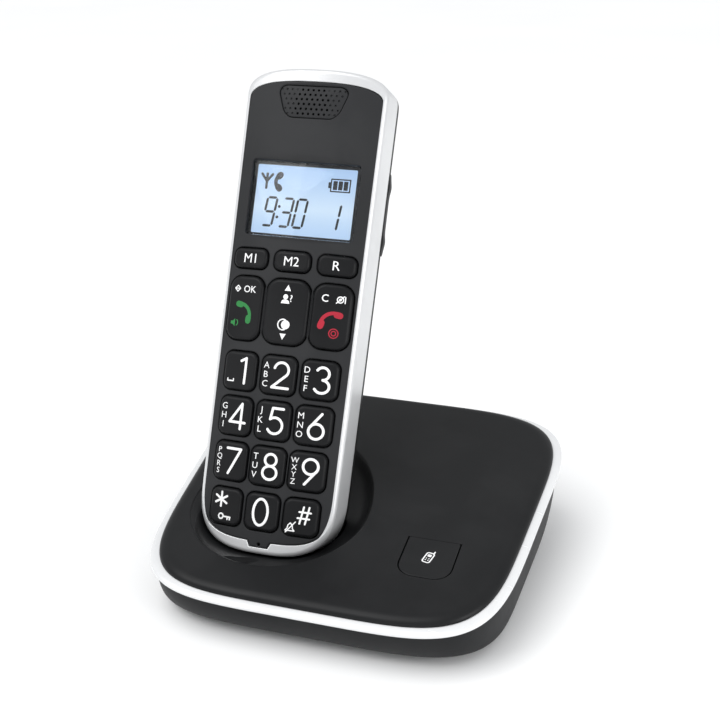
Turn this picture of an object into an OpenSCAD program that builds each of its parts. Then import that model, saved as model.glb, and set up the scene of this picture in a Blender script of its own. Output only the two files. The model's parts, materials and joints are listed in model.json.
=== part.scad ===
// Cordless telephone handset standing in its charging base.
// Origin: centre of the footprint at desk height. +Z is up and +Y is the back of the base.

/* [Base] */
// Width of the deck, left to right
base_w = 120; // [112:1:145]
// Depth of the deck along its slope
base_d = 118; // [110:1:142]
// Height of the deck's centre above the desk
deck_h = 27.6; // [26:0.2:34]
// Slope of the deck in degrees, rising to the back
slope = 9; // [6:0.5:11]
// Width of the footprint
foot_w = 116; // [106:1:140]
// Depth of the footprint
foot_d = 96; // [92:1:118]
// Wall of the base shells
base_wall = 2; // [1.6:0.1:2.6]
// How far the silver rim stands out past the deck
rim_out = 2.8; // [1.8:0.1:3.4]
// Height of the silver rim
rim_h = 2.8; // [2:0.1:3.6]

/* [Cradle] */
// Sideways place of the dish and the handset
seat_x = -25; // [-28:0.5:-22]
// Where the handset's lower back corner stands, front to back
seat_y = -8.6; // [-10:0.2:-6]
// Where the handset's lower back corner stands, above the desk
seat_z = 5; // [4.6:0.1:7]
// Lean of the handset from the desk in degrees
lean = 66; // [62:0.5:70]
// Free space between the handset and its pocket
seat_gap = 0.6; // [0.4:0.1:1]
// Radius of the dish in front
dish_r = 30.4; // [29:0.1:34]
// Reach of the dish behind its centre
dish_back = 42; // [38:1:46]
// Depth of the dish below the deck
dish_deep = 8; // [6:0.5:10]

/* [Handset] */
// Length of the handset
hs_l = 161.5; // [154:0.5:194]
// Width of the handset near its top
hs_w = 50; // [48:0.5:60]
// Width of the handset near its bottom
hs_w_low = 48.4; // [46.6:0.2:58]
// Thickness of the handset on its centre line
hs_t = 25; // [24:0.5:30]
// Radius of the face's curve across its width
face_r = 80; // [60:5:200]
// Height of the parting line above the back of the handset
part_z = 9; // [8.4:0.2:9.8]
// Wall of the rear shell
hs_wall = 1.8; // [1.4:0.1:2.2]
// Silver lip at the sides of the face
lip_side = 1.4; // [1:0.1:2]
// Silver lip at the top of the face
lip_top = 4.4; // [3:0.2:6]
// Silver lip at the bottom of the face
lip_low = 4.2; // [3.4:0.2:4.6]
// Thickness of the front panel
panel_t = 2; // [1.6:0.1:2.4]
// Rounding of the lower back corner
tail_r = 8; // [6:0.5:9]

/* [Keys] */
// Distance between the number key columns
col_pitch = 13.8; // [13.6:0.1:15]
// Distance between the number key rows
row_pitch = 15.1; // [14.8:0.1:16.5]
// Height of the middle number row from the handset's bottom
mid_row_y = 44.2; // [43:0.2:48]
// Width of a number key
num_w = 12.2; // [10:0.1:12.9]
// Height of a number key
num_h = 12.8; // [10.6:0.1:13.6]
// How far the keys stand out of the face
key_proud = 1; // [0.6:0.1:1.4]
// Free space round a key in its hole
key_gap = 0.25; // [0.15:0.05:0.4]
// Travel of a key
key_travel = 0.8; // [0.5:0.1:1]

/* [Display] */
// Width of the display lens
lens_w = 38.2; // [34:0.2:40]
// Height of the display lens
lens_h = 25.4; // [22:0.2:27]
// Middle of the display from the handset's bottom
lens_y = 118; // [117:0.5:121]

/* [Battery] */
// Diameter of a cell
cell_d = 10.5; // [10:0.1:10.6]
// Length of a cell
cell_l = 44.5; // [44:0.1:45]
// Lower end of the battery door from the handset's bottom
door_y = 34; // [33:0.5:40]
// Length of the battery door
door_l = 60; // [58:0.5:64]
// Width of the battery door
door_w = 34; // [31:0.5:36]

/* [Hidden] */
$fn = 48;

black = [0.17, 0.17, 0.18];
key_black = [0.13, 0.13, 0.14];
silver = [0.85, 0.86, 0.87];
gold = [0.8, 0.65, 0.3];
steel = [0.7, 0.7, 0.72];
green = [0.1, 0.35, 0.2];

eps = 0.05;
fit = 0.12;
big = 300;

// ---- outlines -----------------------------------------------------------------------------------

steps = 10;

// Symmetric outline with round ends: half widths wb and wt, end lengths eb and et, powers nb and nt
function ended(y0, y1, wb, wt, eb, et, nb, nt) = let (
    low = [for (i = [0:steps]) let (a = 90 - 90 * i / steps)
      [wb * pow(cos(a), 2 / nb), y0 + eb - eb * pow(sin(a), 2 / nb)]],
    high = [for (i = [0:steps]) let (a = 90 * i / steps)
      [wt * pow(cos(a), 2 / nt), y1 - et + et * pow(sin(a), 2 / nt)]],
    right = concat(low, high)
  ) concat(right, [for (i = [len(right) - 2:-1:1]) [-right[i][0], right[i][1]]]);

low_end = 22;
top_end = 9;

function hs_outline(o) = ended(-o, hs_l + o, hs_w_low / 2 + o, hs_w / 2 + o, low_end, top_end, 3, 3);
function panel_outline(o) = ended(lip_low - o, hs_l - lip_top + o, hs_w_low / 2 - lip_side + o,
  hs_w / 2 - lip_side + o, low_end - 2, top_end - 2, 3, 3.2);

// Rectangle w by h with corner radius r, centred on x, y
corner_steps = 4;
function round_rect(w, h, r, x, y) = [for (c = [0:3]) for (i = [0:corner_steps])
  let (a = 90 * c + 90 * i / corner_steps, sx = (c == 0 || c == 3) ? 1 : -1, sy = c < 2 ? 1 : -1)
  [x + sx * (w / 2 - r) + r * cos(a), y + sy * (h / 2 - r) + r * sin(a)]];

// Closed body through equal rings of points, listed from the lowest to the highest
module loft(rings) {
  n = len(rings[0]);
  m = len(rings);
  sides = [for (k = [0:m - 2]) for (i = [0:n - 1]) let (j = (i + 1) % n)
    each [[k * n + i, (k + 1) * n + i, (k + 1) * n + j], [k * n + i, (k + 1) * n + j, k * n + j]]];
  caps = [[for (i = [0:n - 1]) i], [for (i = [n - 1:-1:0]) (m - 1) * n + i]];
  polyhedron(points = [for (r = rings) each r], faces = concat(sides, caps), convexity = 6);
}

function signed_pow(v, e) = sign(v) * pow(abs(v), e);

ring_n = 72;
deck_power = 4.8;
flare = 0.06;
function deck_ring(o, z) = [for (i = [0:ring_n - 1]) let (a = 360 * i / ring_n,
    x = signed_pow(cos(a), 2 / deck_power), y = signed_pow(sin(a), 2 / deck_power))
  [(base_w / 2 + o) * x * (1 + flare * y), (base_d / 2 + o) * y, z]];
function foot_ring(o, z) = [for (i = [0:ring_n - 1]) let (a = 360 * i / ring_n)
  [(foot_w / 2 + o) * signed_pow(cos(a), 2 / deck_power), (foot_d / 2 + o) * signed_pow(sin(a), 2 / deck_power), z]];
function flat(ring) = [for (p = ring) [p[0], p[1]]];
edge_h = 2.2;
rim_wide = 0.6;
// Moves the deck forward so that the rim's widest line is centred over the desk's origin
deck_y = -(edge_h + rim_wide * rim_h) * sin(slope);
function to_world(p) = [p[0], deck_y + p[1] * cos(slope) - p[2] * sin(slope),
  deck_h + p[1] * sin(slope) + p[2] * cos(slope)];

// ---- frames -------------------------------------------------------------------------------------

// Deck frame: X right, Y up the slope, Z out of the deck, zero on the deck's surface
module on_deck() {
  translate([0, deck_y, deck_h]) rotate([slope, 0, 0]) children();
}

// Handset frame: X across, Y from the bottom end up, Z out of the face, zero on the back
module on_handset() {
  translate([seat_x, seat_y, seat_z]) rotate([lean, 0, 0]) children();
}

// ---- handset: shells ----------------------------------------------------------------------------

// Half cylinder whose top line is at height z: the face's curve
module crown(z, t) {
  translate([0, hs_l + 50, z - face_r]) rotate([90, 0, 0]) difference() {
    cylinder(r = face_r, h = hs_l + 100, $fn = 180);
    if (t > 0) translate([0, 0, -1]) cylinder(r = face_r - t, h = hs_l + 102, $fn = 180);
  }
}

back_flat = 15;
// Cross-section of the back: flat in the middle and rounded up to the parting line
function back_section(o, w, up) = let (
    arc = [for (i = [0:8]) let (a = 90 * i / 8)
      [back_flat + (w + o - back_flat) * pow(cos(a), 0.8), part_z - (part_z + o) * pow(sin(a), 0.8)]]
  ) concat([[w + o, up]], arc, [for (i = [8:-1:0]) [-arc[i][0], arc[i][1]]], [[-w - o, up]]);

head_r = 12;
// Side view of the back: round lower and upper corners
function back_side(o, up, long) = let (
    low = [for (i = [0:8]) let (a = 180 + 90 * i / 8)
      [tail_r + (tail_r + o) * cos(a), tail_r + (tail_r + o) * sin(a)]],
    high = [for (i = [0:8]) let (a = -90 + 90 * i / 8)
      [hs_l + long - head_r + (head_r + o) * cos(a), head_r + (head_r + o) * sin(a)]]
  ) concat([[-o, up]], low, high, [[hs_l + long + o, up]]);

// Body bounded by the outline, the back's cross-section and the side view, up to height up
module back_body(o, w, up, long) {
  intersection() {
    translate([0, 0, -o]) linear_extrude(up + o)
      polygon(ended(-o, hs_l + o + long, hs_w_low / 2 + o, w + o, low_end, top_end, 3, 3));
    translate([0, hs_l + long + 20, 0]) rotate([90, 0, 0]) linear_extrude(hs_l + long + 40)
      polygon(back_section(o, w, up + 1));
    translate([-w - 20, 0, 0]) rotate([90, 0, 90]) linear_extrude(2 * w + 40)
      polygon(back_side(o, up + 1, long));
  }
}

lug_x = hs_w / 2 - lip_side - 4;
lug_ys = [26, hs_l - 13.5];
screw_r = 1;
boss_r = 3;
lug_top = 13.5;

module at_lugs() {
  for (y = lug_ys) for (s = [-1, 1]) translate([s * (y < hs_l / 2 ? lug_x - 0.8 : lug_x), y, 0]) children();
}

door_t = 1.6;
door_r = 2.8;
// Tighter than the door's corners, so that they swing clear
door_hole_r = door_r - 0.8;
door_gap = 0.3;
door_mid = door_y + door_l / 2;
bay_wall = 1.2;
bay_roof = 0.6;
bay_w = 2 * cell_d + 1.6;
bay_l = cell_l + 3.6;
bay_top = 2.2 + cell_d + 0.4;
ledge_z = door_t + door_gap;
ledge_t = 1.2;
contact_y = 11.5;
contact_x = 8;
contact_w = 5;
contact_l = 6;
contact_t = 0.6;
speaker_y = hs_l - 38;
rocker_y = hs_l - 44;
rocker_l = 28;
rocker_w = 4;
rocker_z = 6.4;
rocker_gap = 0.3;

module handset_rear_shell() {
  color(black) on_handset() difference() {
    union() {
      difference() {
        back_body(0, hs_w / 2 - 0.05, part_z, 0);
        translate([0, 0, eps]) back_body(-hs_wall, hs_w / 2 - 0.05, part_z + 1, 0);
      }
      at_lugs() translate([0, 0, hs_wall - 0.4]) cylinder(r = boss_r, h = part_z - hs_wall + 0.4);
      translate([0, door_mid, ledge_z]) linear_extrude(ledge_t)
        polygon(round_rect(door_w + 5, door_l + 5, 3, 0, 0));
      translate([0, door_mid, ledge_z]) linear_extrude(bay_top + bay_roof - ledge_z)
        polygon(round_rect(bay_w + 2 * bay_wall, bay_l + 2 * bay_wall, 1, 0, 0));
    }
    translate([0, door_mid, -1]) linear_extrude(ledge_z + 1)
      polygon(round_rect(door_w + 2 * door_gap, door_l + 2 * door_gap, door_hole_r, 0, 0));
    translate([-bay_w / 2, door_mid - bay_l / 2, 0]) cube([bay_w, bay_l, bay_top]);
    at_lugs() translate([0, 0, -1]) cylinder(r = screw_r + 0.2, h = part_z + 2);
    at_lugs() translate([0, 0, -1]) cylinder(r = 2.2, h = 3.6);
    for (s = [-1, 1]) translate([s * contact_x - contact_w / 2 - fit, contact_y - contact_l / 2 - fit, -1])
      cube([contact_w + 2 * fit, contact_l + 2 * fit, contact_t + 1]);
    speaker_holes(0.9);
    translate([rocker_in - 2.6, rocker_y - rocker_l / 2 - rocker_gap, rocker_z - rocker_w / 2 - rocker_gap])
      cube([12, rocker_l + 2 * rocker_gap, rocker_w + 2 * rocker_gap]);
  }
}

module speaker_holes(r) {
  for (ring = [0:2]) for (i = [0:max(0, 6 * ring - 1)]) let (a = ring == 0 ? 0 : 60 * i / ring)
    translate([3 * ring * cos(a), speaker_y + 3 * ring * sin(a), -1]) cylinder(r = r, h = hs_wall + 2, $fn = 20);
}

mic_y = lip_low - 1;
tab_w = 8.4;
tab_l = 1.9;

module mic_tab(o) {
  translate([-tab_w / 2 - o, lip_low - tab_l - o, 0]) cube([tab_w + 2 * o, 5, 40]);
}

module handset_frame() {
  color(silver) on_handset() difference() {
    union() {
      intersection() {
        difference() {
          translate([0, 0, part_z + fit]) linear_extrude(hs_t) polygon(hs_outline(0));
          linear_extrude(2 * hs_t) polygon(panel_outline(fit));
        }
        crown(hs_t, 0);
      }
      at_lugs() frame_lug();
    }
    at_lugs() translate([0, 0, 2]) cylinder(r = screw_r + 0.02, h = 30);
    translate([0, 0, hs_t - 5]) mic_tab(fit);
  }
}

module frame_lug() {
  translate([0, 0, part_z + fit]) cylinder(r = boss_r, h = lug_top - part_z - fit);
  translate([-5, -2, part_z + fit]) cube([10, 4, lug_top - part_z - fit]);
}

// ---- handset: keys ------------------------------------------------------------------------------

fan = 0.0012;
function col_x(c, y) = c * col_pitch * (1 + fan * (y - mid_row_y));
call_y = mid_row_y + 36.1;
memory_y = mid_row_y + 52.9;
num_r = 2.6;
call_w = 13;
call_h = 21.4;
nav_w = 15.4;
nav_h = 21.6;
soft_w = 12.6;
soft_h = 6.6;
side_x = nav_w / 2 + 1 + call_w / 2;
soft_x = 15.2;

// Each key: column or sideways place, height, width, length and corner radius
function num_key(c, r) = let (y = mid_row_y - r * row_pitch, last = r == 2)
  [col_x(c, y), y, last ? num_w - 0.6 : num_w, last ? num_h - 0.6 : num_h, num_r];
call_key = [-side_x, call_y, call_w, call_h, 4.2];
end_key = [side_x, call_y, call_w, call_h, 4.2];
nav_key = [0, call_y, nav_w, nav_h, 4.6];
function soft_key(c) = [c * soft_x, memory_y, soft_w, soft_h, 2.4];

all_keys = concat([for (r = [-1:2]) for (c = [-1:1]) num_key(c, r)], [call_key, end_key, nav_key],
  [for (c = [-1:1]) soft_key(c)]);

function key_shape(k, o) = round_rect(k[2] + 2 * o, k[3] + 2 * o, k[4] + o, k[0], k[1]);

board_z = 13.9;
board_t = 1.6;
mat_z = board_z + board_t + 0.1;
mat_t = 1;
pad_t = 0.3;
key_foot = mat_z + mat_t + pad_t + key_travel + 0.2;

module key(k, c = key_black) {
  color(c) on_handset() intersection() {
    translate([0, 0, key_foot]) linear_extrude(hs_t) polygon(key_shape(k, 0));
    crown(hs_t + key_proud, 0);
  }
}

pivot_r = 0.7;
pivot_out = 0.6;
pivot_z = hs_t - panel_t - 1.2;

// The navigation key rocks on round pins at its sides, under the panel
module nav_rocker() {
  key(nav_key);
  color(key_black) on_handset() translate([nav_key[0] - nav_w / 2 - pivot_out, nav_key[1], pivot_z])
    rotate([0, 90, 0]) cylinder(r = pivot_r, h = nav_w + 2 * pivot_out);
}

rocker_in = hs_w / 2 - 4.4;
rocker_pivot_r = 1.4;

// The volume key rocks on a round boss inside the shell
module volume_rocker() {
  color(key_black) on_handset() {
    intersection() {
      translate([rocker_in, rocker_y - rocker_l / 2, rocker_z - rocker_w / 2]) cube([10, rocker_l, rocker_w]);
      back_body(0.6, hs_w / 2 - 0.05, part_z, 0);
    }
    translate([rocker_in, rocker_y, rocker_z - rocker_w / 2]) cylinder(r = rocker_pivot_r, h = rocker_w);
  }
}

// ---- handset: face ------------------------------------------------------------------------------

grille_y = hs_l - 12;
hole_pitch = 1.9;
// Sound holes in a staggered field, wider at the top
module ear_holes(r) {
  for (row = [-2:2]) for (i = [-4:4]) let (x = (i + (row % 2 == 0 ? 0 : 0.5)) * hole_pitch)
    if (abs(x) < 5.6 + 0.8 * row) translate([x, grille_y + row * hole_pitch * 0.87, hs_t - 6])
      cylinder(r = r, h = 10, $fn = 16);
}

module handset_front_panel() {
  color(black) on_handset() difference() {
    intersection() {
      union() {
        linear_extrude(2 * hs_t) polygon(panel_outline(0));
        mic_tab(0);
      }
      crown(hs_t, panel_t);
    }
    for (k = all_keys) translate([0, 0, 10]) linear_extrude(30) polygon(key_shape(k, key_gap));
    translate([0, 0, 10]) linear_extrude(30) polygon(round_rect(lens_w, lens_h, 1.2, 0, lens_y));
    ear_holes(0.5);
    translate([0, mic_y, 10]) cylinder(r = 0.6, h = 30, $fn = 20);
  }
}

lens_t = 1;
lens_sink = 1.1;

module lcd_lens() {
  color([0.75, 0.85, 0.95, 0.5]) on_handset() intersection() {
    linear_extrude(40) polygon(round_rect(lens_w - 2 * fit, lens_h - 2 * fit, 1.1, 0, lens_y));
    crown(hs_t - lens_sink, lens_t);
  }
}

lcd_z = 18.3;
lcd_t = 1.8;
lcd_w = lens_w - 1;
lcd_h = lens_h + 1;

module lcd_panel() {
  color([0.7, 0.82, 0.95]) on_handset() translate([-lcd_w / 2, lens_y - lcd_h / 2, lcd_z])
    cube([lcd_w, lcd_h, lcd_t]);
}

module lcd_backlight() {
  color("white") on_handset() difference() {
    translate([-lcd_w / 2 - 1, lens_y - lcd_h / 2 - 0.6, board_z + board_t])
      cube([lcd_w + 2, lcd_h + 1.2, lcd_z - board_z - board_t + 0.8]);
    translate([-lcd_w / 2 - fit, lens_y - lcd_h / 2 - fit, lcd_z]) cube([lcd_w + 2 * fit, lcd_h + 2 * fit, 5]);
  }
}

module earpiece_speaker() {
  color(steel) on_handset() translate([0, grille_y - 1, hs_t - 7.2]) {
    cylinder(r = 6.4, h = 3.6);
    cylinder(r = 4.2, h = 4.4);
  }
}

module handsfree_speaker() {
  color(steel) on_handset() translate([0, speaker_y, hs_wall + 0.2]) {
    cylinder(r = 10, h = 2.4);
    cylinder(r = 5, h = 5);
  }
}

module microphone() {
  color(steel) on_handset() translate([0, lip_low + 1.8, board_z + board_t]) cylinder(r = 1.8, h = 4.6);
}

module keypad_mat() {
  color([0.3, 0.3, 0.32]) on_handset() {
    difference() {
      translate([0, 0, mat_z]) linear_extrude(mat_t)
        polygon(ended(8.5, memory_y + 5, hs_w_low / 2 - 3.4, hs_w / 2 - 3.4, 12, 3, 3, 3));
    }
    for (k = all_keys) translate([0, 0, mat_z + mat_t]) linear_extrude(pad_t)
      polygon(round_rect(k[2] * 0.5, k[3] * 0.5, 1, k[0], k[1]));
  }
}

module handset_board() {
  color(green) on_handset() translate([0, 0, board_z]) linear_extrude(board_t) polygon(panel_outline(-0.8));
}

module handset_antenna() {
  color(gold) on_handset() translate([-17, hs_l - 14, board_z + board_t]) {
    cube([1, 0.6, 3]);
    translate([0, 0, 2.4]) cube([9, 5, 0.6]);
  }
}

module battery_cells() {
  color([0.25, 0.55, 0.3]) on_handset() for (s = [-1, 1])
    translate([s * (cell_d + 0.4) / 2, door_mid - cell_l / 2, 2.2 + cell_d / 2]) rotate([-90, 0, 0]) {
      cylinder(r = cell_d / 2, h = cell_l - 1);
      cylinder(r = 1.9, h = cell_l);
    }
}

plate_t = 0.5;
plate_gap = 0.15;

module battery_springs() {
  color(steel) on_handset() for (s = [-1, 1])
    translate([s * (cell_d + 0.4) / 2, door_mid - bay_l / 2 + plate_gap, 2.2 + cell_d / 2]) {
      translate([-4, 0, -4]) cube([8, plate_t, 8]);
      rotate([-90, 0, 0]) difference() {
        cylinder(r1 = 3.2, r2 = 2, h = 1.5);
        translate([0, 0, -1]) cylinder(r = 1.4, h = 4);
      }
    }
}

module battery_plates() {
  color(steel) on_handset() for (s = [-1, 1])
    translate([s * (cell_d + 0.4) / 2 - 4, door_mid + bay_l / 2 - plate_gap - plate_t, 2.2 + cell_d / 2 - 4])
      cube([8, plate_t, 8]);
}

module charge_contacts() {
  color(gold) on_handset() for (s = [-1, 1])
    translate([s * contact_x - contact_w / 2, contact_y - contact_l / 2, 0])
      cube([contact_w, contact_l, contact_t]);
}

module screw(head_r, head_h, r, l) {
  difference() {
    union() {
      cylinder(r = head_r, h = head_h);
      cylinder(r = r, h = l);
    }
    for (a = [0, 90]) rotate([0, 0, a]) translate([-head_r * 0.6, -0.25, -1]) cube([head_r * 1.2, 0.5, 1.7]);
  }
}

module handset_screws() {
  color(steel) on_handset() at_lugs() translate([0, 0, 0.9]) screw(2, 1.7, screw_r, lug_top - 2);
}

// The door turns on the round nose of its lower end
module battery_door() {
  color(black) on_handset() difference() {
    intersection() {
      translate([0, door_mid, 0]) linear_extrude(door_t) polygon(round_rect(door_w, door_l, door_r, 0, 0));
      union() {
        translate([-door_w, door_y + door_t / 2, door_t / 2]) rotate([0, 90, 0])
          cylinder(r = door_t / 2, h = 2 * door_w);
        translate([-door_w, door_y + door_t / 2, 0]) cube([2 * door_w, door_l, door_t]);
      }
    }
    for (i = [0:3]) translate([-5, door_y + door_l - 5 - 1.6 * i, -0.1]) cube([10, 0.8, 0.5]);
  }
}

// ---- base ---------------------------------------------------------------------------------------

dish_x = seat_x + 2.4;
dish_y = seat_y - 6.4;
dish_n = 48;

// Egg-shaped ring: round in front and longer behind
function egg(rx, front, back, x, y, z) = [for (i = [0:dish_n - 1]) let (a = 360 * i / dish_n)
  [x + rx * cos(a), y + (sin(a) > 0 ? back : front) * sin(a), z]];

// Rings of the dish from its floor up; o thickens it
function dish_rings(o, over) = [
  egg(dish_r - 4.5 + o, dish_r - 8 + o, 15 + o, dish_x - 0.8, dish_y, -dish_deep - o),
  egg(dish_r - 2.4 + o, dish_r - 5 + o, 22 + o, dish_x - 0.4, dish_y, -dish_deep + 1.6 - o),
  egg(dish_r - 0.6 + o, dish_r - 1.6 + o, dish_back - 6 + o, dish_x, dish_y, -2.2 - o / 2),
  egg(dish_r + o, dish_r + o, dish_back + o, dish_x, dish_y, over)
];

// The pocket that the handset's tail stands in, larger than the tail by o
module tail(o) {
  on_handset() back_body(o, hs_w_low / 2 + 0.3, 90, 60);
}

page_x = foot_w / 2 - 25.6;
page_y = 30 - base_d / 2;
page_w = 17;
page_l = 18;
page_t = 2.4;
page_gap = 0.3;
function page_shape(o) = concat(
  [[page_x + page_w / 2 + o, page_y + page_l / 2 + o], [page_x - page_w / 2 - o, page_y + page_l / 2 + o]],
  [for (s = [-1, 1]) for (i = [0:6]) let (a = s < 0 ? 180 + 15 * i : 270 + 15 * i, r = 5.5)
    [page_x + s * (page_w / 2 - r) + (r + o) * cos(a), page_y - page_l / 2 + r + (r + o) * sin(a)]]);

boss_in = 12;
boss_xy = [for (s = [[1, -1], [1, 1], [-1, 1]]) [s[0] * (foot_w / 2 - boss_in), s[1] * (foot_d / 2 - boss_in)]];
foot_z = 1.2;
floor_t = 1.8;
base_boss_r = 3;
screw_head = 0.9;

module deck_bosses() {
  for (p = boss_xy) translate([p[0], p[1], foot_z + floor_t + 0.1]) difference() {
    cylinder(r = base_boss_r, h = deck_h + p[1] * tan(slope) - foot_z - floor_t - base_wall);
    translate([0, 0, -1]) cylinder(r = 1.22, h = 9);
  }
}

module base_deck() {
  color(black) {
    difference() {
      union() {
        on_deck() difference() {
          union() {
            loft([deck_ring(0, -edge_h), deck_ring(-0.1, -1.5), deck_ring(-0.7, -0.7), deck_ring(-1.8, -0.15),
              deck_ring(-3.2, 0)]);
            translate([0, 0, -edge_h - 3]) linear_extrude(4) polygon(flat(deck_ring(-2.3, 0)));
          }
          translate([0, 0, -edge_h - 4]) linear_extrude(edge_h + 4 - base_wall)
            polygon(flat(deck_ring(-2.3 - base_wall, 0)));
        }
        on_deck() loft(dish_rings(base_wall, -0.6));
        intersection() {
          tail(seat_gap + base_wall);
          on_deck() translate([0, 0, -60]) linear_extrude(59.4)
            polygon(flat(egg(dish_r + 1, dish_r + 1, dish_back, dish_x, dish_y, 0)));
          translate([-big / 2, -big / 2, 4.2]) cube([big, big, 100]);
        }
      }
      on_deck() loft(dish_rings(0, 0.4));
      tail(seat_gap);
      on_deck() translate([0, 0, -10]) linear_extrude(20) polygon(page_shape(page_gap));
      for (s = [-1, 1]) pin_axis(s) translate([0, 0, -12]) cylinder(r = pin_r + 0.1, h = 14);
    }
    deck_bosses();
  }
}

module base_rim() {
  color(silver) on_deck() difference() {
    loft([deck_ring(rim_out - 0.9, -edge_h - fit - rim_h), deck_ring(rim_out - 0.2, -edge_h - rim_h * 0.85),
      deck_ring(rim_out, -edge_h - rim_h * rim_wide), deck_ring(rim_out - 0.3, -edge_h - rim_h * 0.33),
      deck_ring(rim_out - 1.1, -edge_h - rim_h * 0.12), deck_ring(0.4, -edge_h - fit)]);
    translate([0, 0, -20]) linear_extrude(30) polygon(flat(deck_ring(-2.1, 0)));
  }
}

shell_steps = 7;
// Rings of the lower shell from the foot up to the rim, moved in by o
function shell_rings(o, lift) = [for (k = [0:shell_steps]) let (u = k / shell_steps,
    top = deck_ring(rim_out - 1.4 - o, -edge_h - rim_h - 2 * fit + lift),
    foot = foot_ring(-o, foot_z + (o > 0 ? floor_t : 0)))
  [for (i = [0:ring_n - 1]) let (t = to_world(top[i]), f = foot[i])
    [f[0] + (t[0] - f[0]) * sin(90 * u), f[1] + (t[1] - f[1]) * sin(90 * u),
      f[2] + (t[2] - f[2]) * (1 - cos(90 * u))]]];

socket_w = 14;
socket_h = 12;
socket_l = 14;
socket_z = 8.1;
socket_y = foot_d / 2 + 4;
line_x = seat_x + 44;
power_x = line_x + 16;
socket_gap = 0.3;

module base_bottom_shell() {
  color(black) difference() {
    loft(shell_rings(0, 0));
    loft(shell_rings(base_wall, 0.3));
    for (p = boss_xy) translate([p[0], p[1], -1]) {
      cylinder(r = 1.5, h = 9);
      cylinder(r = 2.6, h = 1 + foot_z + screw_head);
    }
    for (p = foot_xy) translate([p[0], p[1], -1]) cylinder(r = foot_r + 0.1, h = 1 + foot_z + foot_set);
    for (x = [line_x, power_x]) translate([x - socket_w / 2 - socket_gap, socket_y - 8, socket_z - socket_gap])
      cube([socket_w + 2 * socket_gap, 30, socket_h + 2 * socket_gap]);
  }
}

foot_r = 4.5;
foot_set = 0.8;
foot_xy = [for (x = [-1, 1]) for (y = [-1, 1]) [x * (foot_w / 2 - 22), y * (foot_d / 2 - 9)]];

module rubber_feet() {
  color([0.1, 0.1, 0.1]) for (p = foot_xy) translate([p[0], p[1], 0]) {
    cylinder(r1 = foot_r - 0.6, r2 = foot_r, h = foot_z);
    cylinder(r = foot_r - 0.4, h = foot_z + foot_set);
  }
}

module base_screws() {
  color(steel) for (p = boss_xy) translate([p[0], p[1], foot_z]) screw(2.4, screw_head, 1.2, 8);
}

page_hinge_r = 1;
page_hinge_in = 1.5;

// The paging key turns on a round bar under its rear edge
module page_key() {
  color(black) on_deck() {
    translate([page_x - page_w / 2 + 2, page_y + page_l / 2 - page_hinge_in, -page_t]) rotate([0, 90, 0])
      cylinder(r = page_hinge_r, h = page_w - 4);
    translate([0, 0, -page_t]) linear_extrude(page_t) polygon(page_shape(0));
    translate([page_x - 1.5, page_y - 1.5, -page_stem]) cube([3, 3, page_stem - page_t + 0.1]);
  }
}

page_stem = 8.6;
page_travel = 0.75;
base_board_z = 6.5;
base_board_t = 1.6;

// Where the page key's stem comes down, in the desk's frame
function page_foot() = to_world([page_x, page_y, -page_stem]);

module page_switch() {
  z = base_board_z + base_board_t;
  top = page_foot()[2] - page_travel;
  color(steel) translate([page_x - 3, page_foot()[1] - 3, z]) cube([6, 6, top - z - 1]);
  color(key_black) translate([page_x, page_foot()[1], z]) cylinder(r = 1.7, h = top - z);
}

// Corners of the base's board: right of the dish and inside the lower shell
board_from = [dish_x + dish_r + 5, 16 - foot_d / 2];
board_to = [foot_w / 2 - 16.4, foot_d / 2 - 2];

module base_board() {
  color(green) translate([board_from[0], board_from[1], base_board_z])
    cube([board_to[0] - board_from[0], board_to[1] - board_from[1], base_board_t]);
}

module base_antenna() {
  color(gold) translate([board_to[0] - 1, -20, base_board_z + base_board_t]) {
    cube([0.6, 14, 4]);
    cube([0.6, 2, 8]);
  }
}

pin_r = 1.1;
pin_gap = 0.15;
pin_l = 7;
pin_travel = 1;

// Frame of a charging pin: its Z runs out towards the handset's back, zero at the contact's face
module pin_axis(s) {
  on_handset() translate([s * contact_x, contact_y, 0]) children();
}

module charge_pin(s) {
  color(gold) pin_axis(s) translate([0, 0, -pin_gap]) {
    translate([0, 0, -pin_l]) cylinder(r = pin_r, h = pin_l - pin_r);
    translate([0, 0, -pin_r]) sphere(r = pin_r);
    translate([0, 0, -flange_z]) cylinder(r = 1.8, h = flange_t);
  }
}

flange_t = 0.6;
flange_z = seat_gap + base_wall - pin_gap + flange_t + 0.02;
carrier_z = pin_l + pin_gap + pin_travel + 0.6;

module pin_springs() {
  color(steel) for (s = [-1, 1]) pin_axis(s) translate([0, 0, -carrier_z]) difference() {
    cylinder(r = 1.75, h = carrier_z - flange_z - pin_gap - pin_travel - 0.05);
    translate([0, 0, -1]) cylinder(r = 1.3, h = 10);
  }
}

module pin_carrier() {
  color([0.2, 0.2, 0.2]) on_handset() difference() {
    translate([-contact_x - 4, contact_y - 3.5, -carrier_z - 1.4]) cube([2 * contact_x + 8, 7, 1.4]);
    translate([0, contact_y, -carrier_z - 2]) cylinder(r = 1, h = 4);
  }
}

module wall_socket(x, ways) {
  translate([x - socket_w / 2, socket_y - socket_l, socket_z]) difference() {
    cube([socket_w, socket_l, socket_h]);
    translate([(socket_w - 9.8) / 2, 2, 2.2]) cube([9.8, socket_l, 6.8]);
    translate([(socket_w - 4) / 2, 2, 8.9]) cube([4, socket_l, 1.6]);
  }
  for (i = [0:ways - 1]) translate([x + (i - (ways - 1) / 2) * 1.02 - 0.2, socket_y - socket_l + 1.9, socket_z + 2.1])
    cube([0.4, 8, 0.6]);
}

module line_socket() {
  color(key_black) wall_socket(line_x, 4);
}

module power_socket() {
  color([0.25, 0.25, 0.27]) wall_socket(power_x, 2);
}

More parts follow.
